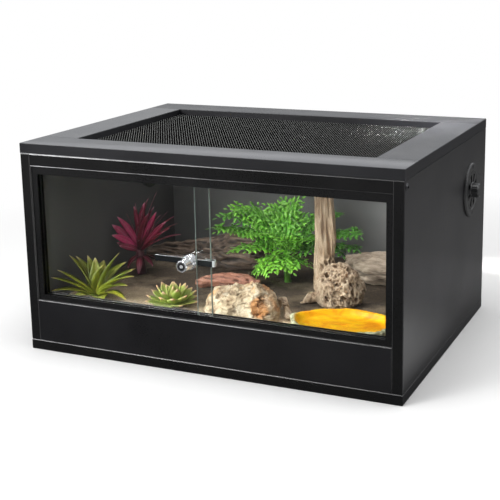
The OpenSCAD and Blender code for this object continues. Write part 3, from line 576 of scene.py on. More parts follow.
class Foliage:
    """Collects blades in one mesh, with UV across and along each blade and a tone of its own."""

    def __init__(self):
        self.verts, self.faces, self.uvs, self.tones = [], [], [], []

    def add(self, vert, uv, tone):
        self.verts.append(vert)
        self.uvs.append(uv)
        self.tones.append(tone)

    def blade(self, spine, across, half_width, tone, fold, thick, under=None,
              spread=(-1, -0.5, 0, 0.5, 1)):
        """Closed blade. spine is a list of points, half_width(t) in mm, fold lifts the edges by
        a share of the width, thick and under are the middle's height above and below in mm."""
        last = len(spine) - 1
        heights = {1: thick, -1: -(thick if under is None else under)}
        ring = [(u, 1) for u in spread] + [(u, -1) for u in reversed(spread[1:-1])]
        self.faces += tube_faces(len(self.verts), len(spine), len(ring))
        for k, spot in enumerate(spine):
            t = k / last
            along = (spine[min(k + 1, last)] - spine[max(k - 1, 0)]).normalized()
            side = (across - along * across.dot(along)).normalized()
            up = upward(side.cross(along))
            wide = half_width(t) * MM
            for u, face in ring:
                body = heights[face] * MM * (1 - u * u) * (0.35 + 0.65 * (1 - t))
                lift = fold * wide * abs(u) ** 1.5 + body
                self.add(spot + side * wide * u + up * lift, (u * 0.5 + 0.5, t), tone)

    def stem(self, points, radius, tone, corners=7):
        """Round stem through points. radius(t) in mm."""
        last = len(points) - 1
        self.faces += tube_faces(len(self.verts), len(points), corners)
        for k, spot in enumerate(points):
            along = (points[min(k + 1, last)] - points[max(k - 1, 0)]).normalized()
            side = along.orthogonal().normalized()
            for c in range(corners):
                turn = Matrix.Rotation(math.tau * c / corners, 3, along)
                self.add(spot + turn @ side * radius(k / last) * MM, (0.5, 0.1), tone)

    def piece(self, name, material, node, slot):
        data = bpy.data.meshes.new(name)
        data.from_pydata(self.verts, [], self.faces)
        layer = data.uv_layers.new(name="blade")
        for loop in data.loops:
            layer.data[loop.index].uv = self.uvs[loop.vertex_index]
        store(data, "tone", self.tones)
        data.shade_smooth()
        data.materials.append(material)
        fix = bmesh.new()
        fix.from_mesh(data)
        bmesh.ops.recalc_face_normals(fix, faces=fix.faces)
        fix.to_mesh(data)
        fix.free()
        stand_for(add_object(name, data), node)


def lance(width, waist, base=0.5, tip=0.02):
    """Half width of a lance-shaped blade: base share at the foot, full width at the waist."""
    def half(t):
        if t < waist:
            share = base + (1 - base) * math.sin(math.pi / 2 * t / waist)
        else:
            share = max(math.cos(math.pi / 2 * (t - waist) / (1 - waist)) ** 0.85, tip)
        return width / 2 * share
    return half


def make_leaf_lines():
    w, given, out = effect("Leaf lines", {"Lines": 26.0, "Wander": 0.02},
                           ("Height", "Midrib", "Edge", "Along", "Tone"))
    blade = w.split(w.place("UV"))
    drift = w.noise(220, 3, 0.6)
    off = w.plus(w.math("SUBTRACT", blade[0], 0.5), w.times(given["Wander"], w.vary(drift, -1, 1)))
    away = w.times(w.math("ABSOLUTE", off), 2.0)
    fine = w.math("SINE", w.times(off, w.times(given["Lines"], math.tau)))
    w.plug(out["Height"], w.times(w.plus(fine, 1.0), 0.5))
    w.plug(out["Midrib"], w.span(away, 0.0, 0.22, 1, 0))
    w.plug(out["Edge"], w.span(away, 0.72, 1.0))
    w.plug(out["Along"], blade[1])
    w.plug(out["Tone"], w.stored("tone"))
    return w.tree


LEAF_LINES = make_leaf_lines()


def leaf_finish(name, foot, body, edge, tip, other, rough=0.42, lines=26.0, tip_from=0.86, rib=0.35,
                vein_mm=0.12, light=0.12):
    """Artificial leaf: colours at the foot, on the body, along the edge and at the tip, and a
    second body colour that some leaves have."""
    w = Coating(name, Coat_Weight=0.06, Coat_Roughness=0.25, Subsurface_Weight=light,
                Subsurface_Radius=(0.002, 0.003, 0.001), Subsurface_Scale=1.0)
    leaf = w.use(LEAF_LINES, Lines=lines)
    blotch = w.noise(180, 4, 0.65, at=w.stretch((1, 1, 0.5)))
    colour = w.mix(leaf["Tone"], body, other)
    colour = w.mix(w.span(blotch, 0.35, 0.7, 0, 0.45), colour, edge)
    colour = w.mix(w.times(leaf["Midrib"], rib), colour, tip)
    colour = w.mix(w.times(leaf["Edge"], 0.7), colour, edge)
    colour = w.mix(w.span(leaf["Along"], 0.0, 0.35, 1, 0), colour, foot)
    colour = w.mix(w.span(leaf["Along"], tip_from, 1.0), colour, tip)
    return w.done(colour, w.vary(blotch, rough - 0.07, rough + 0.1), leaf["Height"], vein_mm, 0.5)


leaf_lime = leaf_finish(
    "leaf_lime", (0.42, 0.43, 0.04), (0.33, 0.33, 0.015), (0.10, 0.13, 0.010), (0.66, 0.52, 0.20),
    (0.15, 0.19, 0.012))
leaf_wine = leaf_finish(
    "leaf_wine", (0.020, 0.008, 0.010), (0.13, 0.006, 0.016), (0.030, 0.006, 0.010),
    (0.56, 0.16, 0.26), (0.62, 0.022, 0.15), rough=0.34, tip_from=0.88, rib=0.3)
leaf_sage = leaf_finish(
    "leaf_sage", (0.08, 0.17, 0.016), (0.21, 0.31, 0.045), (0.45, 0.44, 0.13), (0.78, 0.46, 0.30),
    (0.32, 0.39, 0.075), rough=0.5, lines=5.0, tip_from=0.8, rib=0.0, vein_mm=0.05, light=0.2)
leaf_fern = leaf_finish(
    "leaf_fern", (0.11, 0.40, 0.030), (0.33, 0.82, 0.06), (0.13, 0.47, 0.03), (0.60, 0.92, 0.25),
    (0.050, 0.23, 0.03), rough=0.30, lines=3.0, tip_from=0.8, light=0.1)


def arched(foot, tip, rise, steps):
    """Points of a leaf's spine that rises from the foot and bends over to the tip, and its side
    way, which is x for an upright leaf."""
    reach = tip - foot
    flat = Vector((reach.x, reach.y, 0))
    side = flat.cross(UP).normalized() if flat.length > 2 * MM else Vector((1, 0, 0))
    middle = (foot + tip) / 2 + upward(side.cross(reach).normalized()) * reach.length * rise
    return [bezier(foot, middle, tip, k / steps) for k in range(steps + 1)], side


LEAF_ROOT = 4  # mm from a plant's middle to the foot of a leaf


def grow(foliage, foot, tips, width, rng, rise, fold, tones, waist, thick, steps=12):
    """Leaves from one foot to each of the tips, with rise and tones drawn from their ranges."""
    for tip in tips:
        aim = (bed(*tip) - foot).normalized()
        start = foot + Vector((aim.x, aim.y, 0)) * LEAF_ROOT * MM
        spine, side = arched(start, bed(*tip), rng.uniform(*rise), steps)
        foliage.blade(spine, side, lance(width * rng.uniform(0.85, 1.12), waist),
                      rng.uniform(*tones), fold, thick)


def make_spiky_plant():
    plant = Foliage()
    foot = bed(68, 86, 67)
    tips = [
        (22, 30, 109), (23, 28, 88), (27, 40, 119), (30, 70, 135), (32, 85, 130),
        (47, 95, 130), (61, 95, 128), (74, 105, 113), (110, 90, 142), (136, 85, 117),
        (147, 70, 113), (141, 60, 100), (150, 40, 84), (112, 32, 80), (62, 30, 80),
        (30, 112, 106), (52, 134, 112), (92, 138, 112), (122, 116, 110), (84, 84, 122)]
    grow(plant, foot, tips, 24, random.Random(3), (0.06, 0.2), 0.4, (0, 0.9), 0.34, 0.8)
    plant.stem([foot - UP * 2 * MM, foot + UP * 12 * MM], lambda t: 8 - 4 * t, 0.2)
    plant.piece("spiky_plant_leaves", leaf_lime, "spiky_plant", "leaf_lime")


def make_bromeliad():
    rng = random.Random(8)
    plant = Foliage()
    crown = bed(65, 226, 104)
    bright = [(24, 206, 152), (34, 208, 166), (28, 198, 136)]
    broad = [(40, 200, 118), (33, 204, 122), (64, 214, 186), (80, 222, 192), (100, 226, 176),
             (116, 230, 160)]
    dark = [(56, 225, 181), (83, 230, 198), (81, 250, 178), (100, 240, 168), (117, 255, 163),
            (132, 240, 156), (143, 230, 140), (129, 200, 152), (92, 214, 176), (40, 262, 146),
            (64, 282, 146), (96, 276, 136), (112, 212, 132)]
    low = [(82, 190, 76), (54, 202, 80), (96, 214, 84), (46, 248, 84), (80, 256, 82)]
    for tips, width, tones in ((bright, 15, (0.7, 1.0)), (broad, 11.5, (0.1, 0.45))):
        for tip in tips:
            spine = arched(crown, bed(*tip), rng.uniform(0.06, 0.16), 14)[0]
            across = Vector((0.45, -0.85, 0.3)).cross(spine[-1] - crown)
            plant.blade(spine, across, lance(width * rng.uniform(0.85, 1.1), 0.6, 0.35),
                        rng.uniform(*tones), 0.2, 0.5)
    grow(plant, crown, dark, 17, rng, (0.02, 0.14), 0.35, (0.0, 0.2), 0.45, 0.5, 14)
    grow(plant, bed(66, 226, 98), low, 12, rng, (0.1, 0.25), 0.3, (0, 0.1), 0.5, 0.5, 10)
    for tip in [(90, 246, 205), (64, 218, 190), (116, 236, 176), (48, 214, 172)]:
        spine, side = arched(crown, bed(*tip), 0.08, 14)
        plant.blade(spine, side, lance(4, 0.3), 0.5, 0.2, 0.4)
    plant.stem([bed(66, 227, 64), bed(65, 226, 84), bed(65, 226, 108)], lambda t: 9 - 2 * t, 0.0, 9)
    plant.piece("bromeliad_leaves", leaf_wine, "bromeliad", "leaf_wine")


def make_succulent():
    rng = random.Random(5)
    plant = Foliage()
    foot = bed(202, 92, 70)
    rings = [
        (9, 8, 42, 20, 0.0), (9, 27, 42, 20, 20.0), (7, 48, 39, 18, 8.0), (4, 69, 34, 13, 30.0)]
    for count, tilt, reach, width, turn in rings:
        for i in range(count):
            way = math.radians(360 * i / count + turn + rng.uniform(-5, 5))
            rise = math.radians(tilt + rng.uniform(-4, 4))
            length = reach * rng.uniform(0.92, 1.06)
            out = Vector((math.cos(way), math.sin(way), 0))
            start = foot + out * 3 * MM
            tip = foot + (out * math.cos(rise) + UP * math.sin(rise)) * length * MM
            middle = (start + tip) / 2 - UP * 3 * MM + out * 3 * MM
            spine = [bezier(start, middle, tip, k / 10) for k in range(11)]
            plant.blade(spine, out.cross(UP), lance(width, 0.56, 0.42), rng.uniform(0, 1),
                        0.2, 1.2, 3.6)
    plant.stem([foot - UP * 5 * MM, foot + UP * 8 * MM], lambda t: 7 - 3 * t, 0.2)
    plant.piece("succulent_leaves", leaf_sage, "succulent", "leaf_sage")


# Painted light and shade on the fern: fronds with their tips right of DARK_FROM are painted dark,
# as shaded behind the trunk, and those low in front of NEAR are painted bright, as lit near the
# front.
DARK_FROM = 385
NEAR_Y, NEAR_Z = 245, 160
FROND_STEPS = 26
BARE_STALK, LEAFY = 0.2, 0.78  # shares of a frond's length
PINNA_PITCH, LEAFLET_PITCH = 10.5, 8.5  # mm
PINNA, LEAFLET = 25, 13.5  # longest, in mm
LEAFLET_WIDTH = 0.56  # of its length


def make_fern():
    rng = random.Random(11)
    plant = Foliage()
    crown = bed(319, 268, 112)
    tips = [
        (188, 265, 148), (198, 270, 169), (218, 275, 186), (242, 285, 186), (290, 285, 191),
        (265, 300, 176), (316, 300, 200), (299, 320, 178), (276, 235, 83), (296, 222, 92),
        (330, 228, 98), (354, 240, 106), (232, 240, 118), (372, 262, 146), (397, 310, 180),
        (430, 312, 150), (432, 300, 126), (410, 290, 119), (334, 300, 176), (360, 330, 172),
        (262, 240, 150), (300, 238, 150), (336, 240, 148), (250, 330, 160), (208, 300, 140)]
    for tip in tips:
        way = bed(*tip) - crown
        rise = rng.uniform(0.16, 0.3) if way.z > -0.02 else 0.45
        spine, side = arched(crown, bed(*tip), rise, FROND_STEPS)
        # painted shade or light by where the frond lies, then random tone for the rest
        near = tip[1] < NEAR_Y and tip[2] < NEAR_Z
        shade = 0.8 if tip[0] > DARK_FROM else rng.uniform(*((0, 0.12) if near else (0.2, 0.6)))
        plant.stem(spine, lambda t: 0.9 - 0.5 * t, shade, 5)
        pull = spine[FROND_STEPS // 2] * 2 - (spine[0] + spine[-1]) / 2
        pairs = int(way.length / MM / PINNA_PITCH)
        for i in range(pairs):
            t = BARE_STALK + LEAFY * i / pairs
            spot = bezier(spine[0], pull, spine[-1], t)
            step = int(t * FROND_STEPS)
            along = (spine[min(step + 1, FROND_STEPS)] - spine[step]).normalized()
            length = PINNA * math.sin(math.pi * (0.12 + 0.85 * t)) ** 0.7 * rng.uniform(0.8, 1.1)
            for s in (-1, 1):
                droop = UP * rng.uniform(-0.35, 0.1)
                out = (side * s + along * 0.75 + droop).normalized()
                frond_twig(plant, spot, out, along, length, shade, rng)
    plant.stem([bed(320, 268, 64), bed(318, 267, 90), crown], lambda t: 6 - 2 * t, 0.9, 9)
    plant.piece("fern_fronds", leaf_fern, "fern", "leaf_fern")


def frond_twig(plant, spot, out, along, length, shade, rng):
    """One pinna: leaflets in pairs along its own rib, and one at its end."""
    steps = max(int(length / LEAFLET_PITCH), 2)
    normal = upward(out.cross(along).normalized())
    flat = normal.cross(out).normalized()
    for k in range(steps + 1):
        foot = spot + out * (k + 0.4) * LEAFLET_PITCH * MM - normal * 0.24 * k * MM
        size = LEAFLET * (1 - 0.4 * k / steps)
        for way in [out] if k == steps else [(flat * s + out * 0.9).normalized() for s in (-1, 1)]:
            bend = normal * rng.uniform(-0.45, 0.45)
            tip = foot + (way + bend).normalized() * size * MM
            spine = [foot, foot.lerp(tip, 0.35) + normal * 0.35 * MM, foot.lerp(tip, 0.72), tip]
            plant.blade(spine, normal.cross(way).normalized(),
                        lance(size * LEAFLET_WIDTH, 0.45, 0.35, 0.1),
                        min(shade + rng.uniform(0, 0.4), 1), 0.3, 0.25, spread=(-1, 0, 1))


make_spiky_plant()
make_bromeliad()
make_succulent()
make_fern()

# ---- stone, wood and sand


def carved(node, name, voxel, soften, form, material):
    """Fine copy of a CAD node's solid, softened, then raised or cut along its normals. form takes
    a spot in mm and its normal, and gives a height in mm, a mask for hollows, which the finishes
    darken as painted shade, and one more."""
    piece = add_object(name, NODES[node].data.copy())
    piece.data.materials.clear()
    grid = piece.modifiers.new("grid", "REMESH")
    grid.mode = "VOXEL"
    grid.voxel_size = voxel * MM
    relax = piece.modifiers.new("relax", "SMOOTH")
    relax.factor, relax.iterations = 0.5, soften
    bpy.context.view_layer.update()
    shaped = piece.evaluated_get(bpy.context.evaluated_depsgraph_get())
    data = bpy.data.meshes.new_from_object(shaped)
    piece.modifiers.clear()
    piece.data = data
    spots = [(v.co.copy(), v.normal.copy()) for v in data.vertices]
    heights, hollows, seconds = zip(*(form(spot / MM, normal) for spot, normal in spots))
    for v, (spot, normal), height in zip(data.vertices, spots, heights):
        v.co = spot + normal * height * MM
    store(data, "hollow", hollows)
    store(data, "second", seconds)
    data.shade_smooth()
    data.materials.append(material)
    stand_for(piece, node)


def ease(value, low, high):
    share = min(max((value - low) / (high - low), 0), 1)
    return share * share * (3 - 2 * share)


def cell_gap(spot):
    """Distance from the nearest wall between cells: 0 on a wall."""
    near = noise.voronoi(spot)[0]
    return near[1] - near[0]


def field(x, y, z):
    return noise.noise(Vector((x, y, z)))


def ridges(x, y, z, along, across):
    """Long ridges and furrows that run with x."""
    return field(x / along, y / across, z / across)


def lumps(spot, roughness=1.0):
    return noise.fractal(spot, roughness, 2.0, 3)


def make_fibre():
    w, given, out = effect("Wood fibre", {"Vector": None, "Scale": 300.0},
                           ("Height", "Streak", "Patch"))
    fine = w.noise(given["Scale"], 5, 0.65, at=given["Vector"])
    wide = w.noise(w.times(given["Scale"], 0.28), 3, 0.5, 0.4, given["Vector"])
    w.plug(out["Height"], w.plus(w.times(fine, 0.6), w.times(wide, 0.4)))
    w.plug(out["Streak"], w.span(w.plus(w.times(fine, 0.5), w.times(wide, 0.5)), 0.34, 0.66))
    w.plug(out["Patch"], w.span(w.noise(45, 4, 0.6), 0.35, 0.68))
    return w.tree


WOOD_FIBRE = make_fibre()


def wood(name, dark, body, pale, hollow_shade_tone, grain, scale, rough=0.72, depth_mm=0.6, patch=0.5):
    """Weathered wood: streaks along the grain, patches of a paler tone, and painted shade in its
    hollows.
    """
    w = Coating(name)
    fibre = w.use(WOOD_FIBRE, Vector=w.stretch(*grain), Scale=scale)
    colour = w.ramp(fibre["Streak"], [(0.08, dark), (0.5, body), (0.92, pale)])
    colour = w.mix(w.times(fibre["Patch"], patch), colour, pale)
    # painted shade where the form marks hollows
    colour = w.mix(w.times(w.stored("hollow"), 0.9, clamp=True), colour, hollow_shade_tone)
    return w.done(colour, w.span(fibre["Streak"], 0, 1, rough + 0.1, rough - 0.1),
                  fibre["Height"], depth_mm, 0.8)


driftwood = wood("driftwood", (0.20, 0.115, 0.062), (0.44, 0.31, 0.20), (0.70, 0.56, 0.41),
                 (0.15, 0.082, 0.046), ((1, 1, 0.1),), 420.0, depth_mm=0.7)
grey_wood = wood("grey_wood", (0.14, 0.094, 0.066), (0.50, 0.385, 0.29), (0.74, 0.60, 0.47),
                 (0.055, 0.038, 0.028), ((0.14, 1, 1),), 420.0, patch=0.35)
bark = wood("bark", (0.022, 0.013, 0.010), (0.095, 0.060, 0.042), (0.24, 0.165, 0.12),
            (0.010, 0.006, 0.005), ((0.12, 1, 1), (0, 0.1, 0.05)), 340.0, 0.62, 0.9, 0.15)
red_wood = wood("red_wood", (0.12, 0.038, 0.022), (0.30, 0.115, 0.070), (0.50, 0.25, 0.17),
                (0.03, 0.012, 0.008), ((0.16, 1, 1), (0, 0, 0.1)), 380.0, 0.6, patch=0.25)


def make_rock():
    w = Coating("rock")
    lump = w.noise(60, 5, 0.6)
    grit = w.noise(900, 4, 0.7)
    stain = w.noise(42, 4, 0.6, 0.6, w.stretch((1, 1, 1.4)))
    colour = w.ramp(lump, [
        (0.34, (0.47, 0.33, 0.20)), (0.5, (0.67, 0.525, 0.35)), (0.64, (0.80, 0.69, 0.52))])
    colour = w.mix(w.span(stain, 0.60, 0.68, 0, 0.6), colour, (0.80, 0.40, 0.12))
    colour = w.mix(w.span(grit, 0.56, 0.72, 0, 0.35), colour, (0.42, 0.27, 0.15))
    colour = w.mix(w.times(w.stored("second"), 0.8), colour, (0.70, 0.30, 0.09))
    # painted shade in the rock's hollows
    colour = w.mix(w.times(w.stored("hollow"), 0.85, clamp=True), colour, (0.14, 0.075, 0.038))
    return w.done(colour, w.vary(grit, 0.62, 0.85), w.plus(grit, w.times(lump, 2.0)), 0.5, 0.8)


def make_dish_glaze():
    w = Coating("dish_glaze", Coat_Roughness=0.2, Specular_IOR_Level=0.15)
    inner = w.stored("second")
    pool = w.noise(38, 4, 0.55, 0.8, w.stretch((0.8, 1, 1)))
    grit = w.noise(520, 4, 0.65)
    moss = w.noise(70, 4, 0.6)
    amber = w.ramp(pool, [
        (0.36, (0.70, 0.24, 0.002)), (0.5, (0.86, 0.41, 0.003)), (0.64, (0.84, 0.52, 0.006))])
    stone = w.ramp(moss, [
        (0.36, (0.30, 0.29, 0.15)), (0.52, (0.55, 0.55, 0.36)), (0.66, (0.72, 0.70, 0.50))])
    stone = w.mix(w.span(grit, 0.55, 0.72, 0, 0.5), stone, (0.26, 0.22, 0.12))
    # painted shade in the rim's creases
    stone = w.mix(w.times(w.stored("hollow"), 0.7, clamp=True), stone, (0.16, 0.14, 0.07))
    w.plug(w.shader.inputs["Coat Weight"], w.times(inner, 0.03))
    return w.done(w.mix(inner, stone, amber),
                  w.plus(w.times(inner, -0.26), w.vary(grit, 0.62, 0.8)),
                  w.times(grit, w.math("SUBTRACT", 1.1, inner)), 0.35, 0.8)


def make_sand():
    w = Coating("sand")
    cells = w.node("TexVoronoi", {"Vector": w.place(), "Scale": 1500.0})
    grain = w.split(cells.outputs["Color"])[0]
    drift = w.noise(18, 5, 0.6)
    speck = w.noise(750, 2, 0.5)
    # Towards the rear of the bed the sand darkens to near black: painted shade behind the plants
    # and logs.
    rear = w.plus(w.span(w.split(w.place())[1], -0.15, -0.05), w.vary(drift, -0.3, 0.3), clamp=True)
    pale = w.ramp(grain, [
        (0.1, (0.44, 0.30, 0.18)), (0.5, (0.69, 0.51, 0.33)), (0.9, (0.88, 0.73, 0.52))])
    dark = w.ramp(grain, [
        (0.1, (0.018, 0.012, 0.008)), (0.5, (0.068, 0.046, 0.028)), (0.9, (0.15, 0.105, 0.068))])
    colour = w.mix(w.span(speck, 0.62, 0.72, 0, 0.7), w.mix(rear, pale, dark), (0.10, 0.065, 0.04))
    return w.done(colour, w.span(grain, 0, 1, 0.75, 0.95),
                  w.plus(grain, w.times(drift, 3.0)), 0.6, 0.7)


def ledge(spot, size, squat):
    """Height step of the block that a spot is in, from -1 to 1, and how near its edge is."""
    near, points = noise.voronoi(Vector((spot.x / size, spot.y / size, spot.z / (size * squat))),
                                 distance_metric="CHEBYCHEV")
    return noise.noise(points[0] * 5.37 + Vector((0.5, 0.5, 0.5))) * 2, near[1] - near[0]


def rock_form(spot, normal):
    warp = noise.noise_vector(spot / 13) * 4.5
    broad, gap = ledge(spot + warp, 15, 0.62)
    small = ledge(spot + warp * 1.3, 6.5, 0.7)[0]
    pit = 1 - ease(noise.voronoi((spot + warp) / 9)[0][0], 0.10, 0.34)
    pit *= ease(noise.noise(spot / 15 + Vector((3, 1, 0))), -0.1, 0.15)
    height = 2.3 * broad + 1.0 * small + 0.55 * lumps(spot / 3.5, 0.9) - 3.6 * pit - 0.8
    # Hollow mask for painted shade: low blocks, pits and the gaps between blocks.
    low = ease(-broad, 0.25, 0.75) * 0.5 + ease(-small, 0.3, 0.8) * 0.35
    hollow = min(1.0, low + pit + 0.35 * (1 - ease(gap, 0, 0.12)))
    rust = ease(noise.noise(spot / 24 + Vector((0, 5, 2))), 0.05, 0.3)
    return height, hollow, rust * ease(spot.x - CORNER.x, 325, 352)


BALL = CORNER + Vector((438, 192, 88))
TRUNK = CORNER + Vector((409, 206, 0))


def driftwood_form(spot, normal):
    """Furrowed, twisted trunk that ends in a stringy, pitted root ball."""
    ball = 1 - ease((spot - BALL).length, 38, 62)
    flow = noise.noise_vector(spot / 34) * 1.1
    lean = Matrix.Rotation(0.5, 3, "Y") @ (spot - BALL)
    cells = Vector((lean.x / 5.4, lean.y / 5.4, lean.z / 12.5)) + flow
    pit = ease(cell_gap(cells), 0.08, 0.42) * ease(noise.noise(spot / 13), -0.55, 0.0)
    knots = noise.noise(spot / 19 + Vector((1, 4, 2)))
    strings = field(lean.x / 3.2, lean.y / 3.2, lean.z / 18)
    ball_height = 6.5 * min(knots, 0.25) + 1.2 * strings - 5.4 * pit
    twist = Matrix.Rotation(spot.z / 160, 3, "Z") @ (spot - TRUNK)
    groove = field(twist.x / 4.2, twist.y / 4.2, spot.z / 52)
    broad = field(twist.x / 13, twist.y / 13, spot.z / 85 + 4)
    split = ease(-groove, 0.12, 0.5)
    trunk_height = 1.6 * groove + 3.0 * broad - 1.6 * split - 1.8
    # The second value marks pits in the ball and splits in the trunk for painted shade.
    return (ball * ball_height + (1 - ball) * trunk_height,
            ball * 0.95 * pit + (1 - ball) * 0.5 * split, ball)


def log_form(spot, normal):
    groove = ridges(*spot, 30, 4.5)
    under = 1 - ease(normal.z, -0.1, 0.5)
    # Splits, returned as the hollow mask, take painted shade, more on the underside.
    split = ease(-groove, 0.1, 0.5) * (0.25 + 0.75 * under)
    return 2.2 * lumps(spot / 17) + (0.5 + 1.6 * under) * groove - 1.6 * split, 0.8 * split, under


def bark_form(spot, normal):
    bend = spot.y + 7 * math.sin(spot.x / 38)
    groove = ridges(spot.x, bend, spot.z, 42, 4.6)
    fine = ridges(spot.x, bend, spot.z, 16, 1.9)
    split = ease(-groove, 0.05, 0.45)
    # Splits, returned as the hollow mask, take painted shade.
    return 2.6 * lumps(spot / 22) + 2.6 * groove + 0.6 * fine - 2.2 * split, split, 0


def branch_form(spot, normal):
    groove = ridges(*spot, 22, 4)
    split = ease(-groove, 0.12, 0.5)
    # Splits, returned as the hollow mask, take painted shade.
    return 2.2 * lumps(spot / 13) + 1.3 * groove - 1.5 * split, 0.8 * split, 0


DISH_MIDDLE = CORNER + Vector((486, 82, 0))
DISH_TURN = Matrix.Rotation(math.radians(-8), 3, "Z")
DISH_HALF = (80, 52)


def dish_form(spot, normal):
    """Glazed hollow in a knobbly stone rim."""
    here = DISH_TURN @ (spot - DISH_MIDDLE)
    x, y = here.x / DISH_HALF[0], here.y / DISH_HALF[1]
    way = math.atan2(y, x)
    glazed_to = 0.86 + 0.12 * ease(here.y, -10, 30)
    inner = (1 - ease(math.hypot(x, y), glazed_to, glazed_to + 0.06)) * ease(normal.z, -0.3, 0.2)
    scallop = field(math.cos(way) * 3.2, math.sin(way) * 3.2, 1)
    crease = ease(cell_gap(Vector((way * 4.5, spot.z / 9, 0))), 0.0, 0.25)
    wave = field(spot.x / 26, spot.y / 11, 2)
    rim_height = 2.0 * scallop + 0.8 * lumps(spot / 6) + 0.9 * crease - 1
    # Creases in the rim, returned as the hollow mask, take painted shade.
    return inner * 1.5 * wave + (1 - inner) * rim_height, (1 - inner) * (1 - crease), inner


carved("pitted_rock", "limestone", 1.1, 2, rock_form, make_rock())
carved("driftwood_trunk", "driftwood_trunk_form", 1.4, 6, driftwood_form, driftwood)
carved("rear_log", "rear_log_form", 1.8, 16, log_form, grey_wood)
carved("bark_log", "bark_log_form", 1.5, 14, bark_form, bark)
carved("red_branch", "red_branch_form", 1.2, 10, branch_form, red_wood)
carved("arched_stick", "arched_stick_form", 0.8, 6, branch_form, driftwood)
carved("food_dish", "food_dish_form", 1.3, 6, dish_form, make_dish_glaze())

COLUMNS, ROWS = 142, 104
LEVEL_RIM = 4  # cells over which the sand comes level with the walls
MOUNDS, RIPPLES = 26, 140  # a metre


def make_sand_bed():
    """Raked sand: gentle hollows and mounds, level at the walls."""
    low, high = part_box("sand_bed")
    body = bmesh.new()
    grid = []
    for j in range(ROWS + 1):
        for i in range(COLUMNS + 1):
            x = low.x + (high.x - low.x) * i / COLUMNS
            y = low.y + (high.y - low.y) * j / ROWS
            wave = noise.fractal(Vector((x, y, 0)) * MOUNDS, 1.0, 2.0, 4)
            ripple = field(x * RIPPLES, y * RIPPLES, 3)
            edge = min(i, j, COLUMNS - i, ROWS - j, LEVEL_RIM) / LEVEL_RIM
            z = high.z + edge * (1.5 * wave + 0.4 * ripple - 0.4) * MM
            grid.append(body.verts.new((x, y, z)))
    wide = COLUMNS + 1
    for j in range(ROWS):
        for i in range(COLUMNS):
            a = j * wide + i
            body.faces.new([grid[k] for k in (a, a + 1, a + 1 + wide, a + wide)]).smooth = True
    # once round: front, right, rear and left
    rim = grid[:COLUMNS] + grid[COLUMNS:-1:wide]
    rim += grid[:-wide:-1] + grid[ROWS * wide:0:-wide]
    floor_ring = [body.verts.new((v.co.x, v.co.y, low.z)) for v in rim]
    for k in range(len(rim)):
        after = (k + 1) % len(rim)
        body.faces.new((rim[after], rim[k], floor_ring[k], floor_ring[after]))
    body.faces.new(list(reversed(floor_ring)))
    data = mesh_of("raked_sand", body)
    data.materials.append(make_sand())
    stand_for(add_object("raked_sand", data), "sand_bed")


make_sand_bed()

# ---- camera, floor, light

IMAGE_SIDE = 500
FOCAL_PX = 1085.1

optics = bpy.data.cameras.new("camera")
optics.lens = FOCAL_PX / IMAGE_SIDE * optics.sensor_width
optics.shift_x, optics.shift_y = -0.05, -0.12
camera = add_object("camera", optics)
camera.location = (0.7002, -1.5333, 0.5992)
camera.rotation_euler = [math.radians(a) for a in (77.583, 0.866, 23.813)]
bpy.context.scene.camera = camera

FLOOR_TONE = 0.66
FLOOR_RADIUS = 14
BELOW_FEET = 0.0002
WHITE = (1, 1, 1)


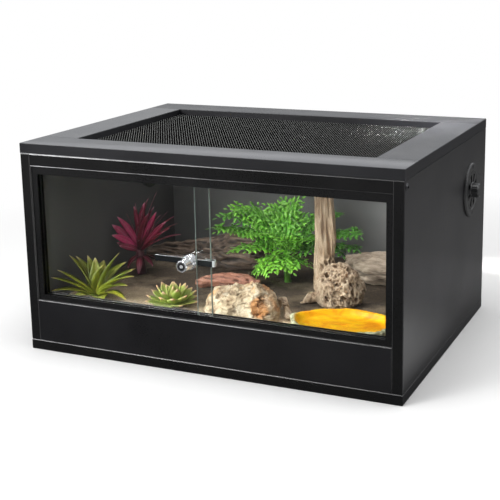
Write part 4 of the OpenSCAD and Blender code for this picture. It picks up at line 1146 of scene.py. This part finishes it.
def make_floor():
    """Round pale floor: diffuse with the object's shadow near it, plain white further out.
    Mirrored, it is dark in front of the object and brighter beside it."""
    disc = bmesh.new()
    bmesh.ops.create_circle(disc, cap_ends=True, segments=96, radius=FLOOR_RADIUS)
    data = mesh_of("floor", disc)
    made = bpy.data.materials.new("floor")
    w = Wiring(fresh_tree(made))
    x, y, _ = w.split(w.place())
    path = w.node("LightPath").outputs
    beside = w.times(w.span(x, 0.315, 0.345, 0.0, FLOOR_TONE * 1.1), w.span(y, 0.0, 0.25, 1, 0.15))
    ahead = w.span(y, -0.5, 0.2, FLOOR_TONE * 0.05, FLOOR_TONE * 0.3)
    mirrored = w.math("SUBTRACT", w.math("MAXIMUM", ahead, beside), FLOOR_TONE)
    diffuse = w.node("BsdfDiffuse", {
        "Color": w.plus(FLOOR_TONE, w.times(path["Is Glossy Ray"], mirrored))})
    away = w.vector("LENGTH", w.place(), out="Value")
    white = w.node("Emission", {"Color": WHITE})
    both = w.either(w.times(w.span(away, 0.55, 1.1), path["Is Camera Ray"]), diffuse, white)
    w.node("OutputMaterial", {0: both.outputs[0]})
    data.materials.append(made)
    floor = add_object("floor", data)
    floor.location.z = -BELOW_FEET


def make_world():
    """White where it is seen or mirrored from behind and above, dimmer from the front."""
    world = bpy.data.worlds.new("studio")
    bpy.context.scene.world = world
    w = Wiring(fresh_tree(world))
    _, y, z = w.split(w.place("Generated"))
    path = w.node("LightPath").outputs
    shine = w.times(w.span(y, -0.8, 0.4, 0.08, 1.0), w.span(z, 0.13, 0.22, 0.35, 1.5))
    lit = w.node("Background", {"Color": WHITE, "Strength": 0.45})
    mirrored = w.node("Background", {"Color": (0.95, 0.97, 1), "Strength": shine})
    seen = w.node("Background", {"Color": WHITE, "Strength": 1.0})
    unseen = w.either(path["Is Glossy Ray"], lit, mirrored)
    direct = w.math("MAXIMUM", path["Is Camera Ray"], path["Is Transmission Ray"])
    w.node("OutputWorld", {0: w.either(direct, unseen, seen).outputs[0]})


def softbox(name, spot, aim, width, height, watts, spread=180):
    lamp = bpy.data.lights.new(name, "AREA")
    lamp.spread = math.radians(spread)
    lamp.shape = "RECTANGLE"
    lamp.size, lamp.size_y, lamp.energy = width, height, watts
    made = add_object(name, lamp)
    made.location = spot
    made.rotation_euler = (Vector(aim) - Vector(spot)).to_track_quat("-Z", "Y").to_euler()


make_floor()
make_world()
softbox("key", (-1.25, -1.75, 1.1), (0.1, 0.0, 0.15), 0.9, 0.9, 30)
softbox("low fill", (-0.85, -1.95, 0.85), (0.15, 0.1, 0.15), 0.8, 0.4, 24)
softbox("corner", (0.17, -0.24, 1.0), (0.25, 0.215, 0.18), 0.1, 0.1, 0.6, 17)
softbox("overhead", (0.1, -0.1, 1.8), (0, 0, 0.2), 1.6, 1.2, 34)
softbox("side", (1.9, 0.5, 0.9), (0.3, 0, 0.15), 0.8, 1.0, 10)
bpy.context.scene.view_settings.view_transform = "Standard"
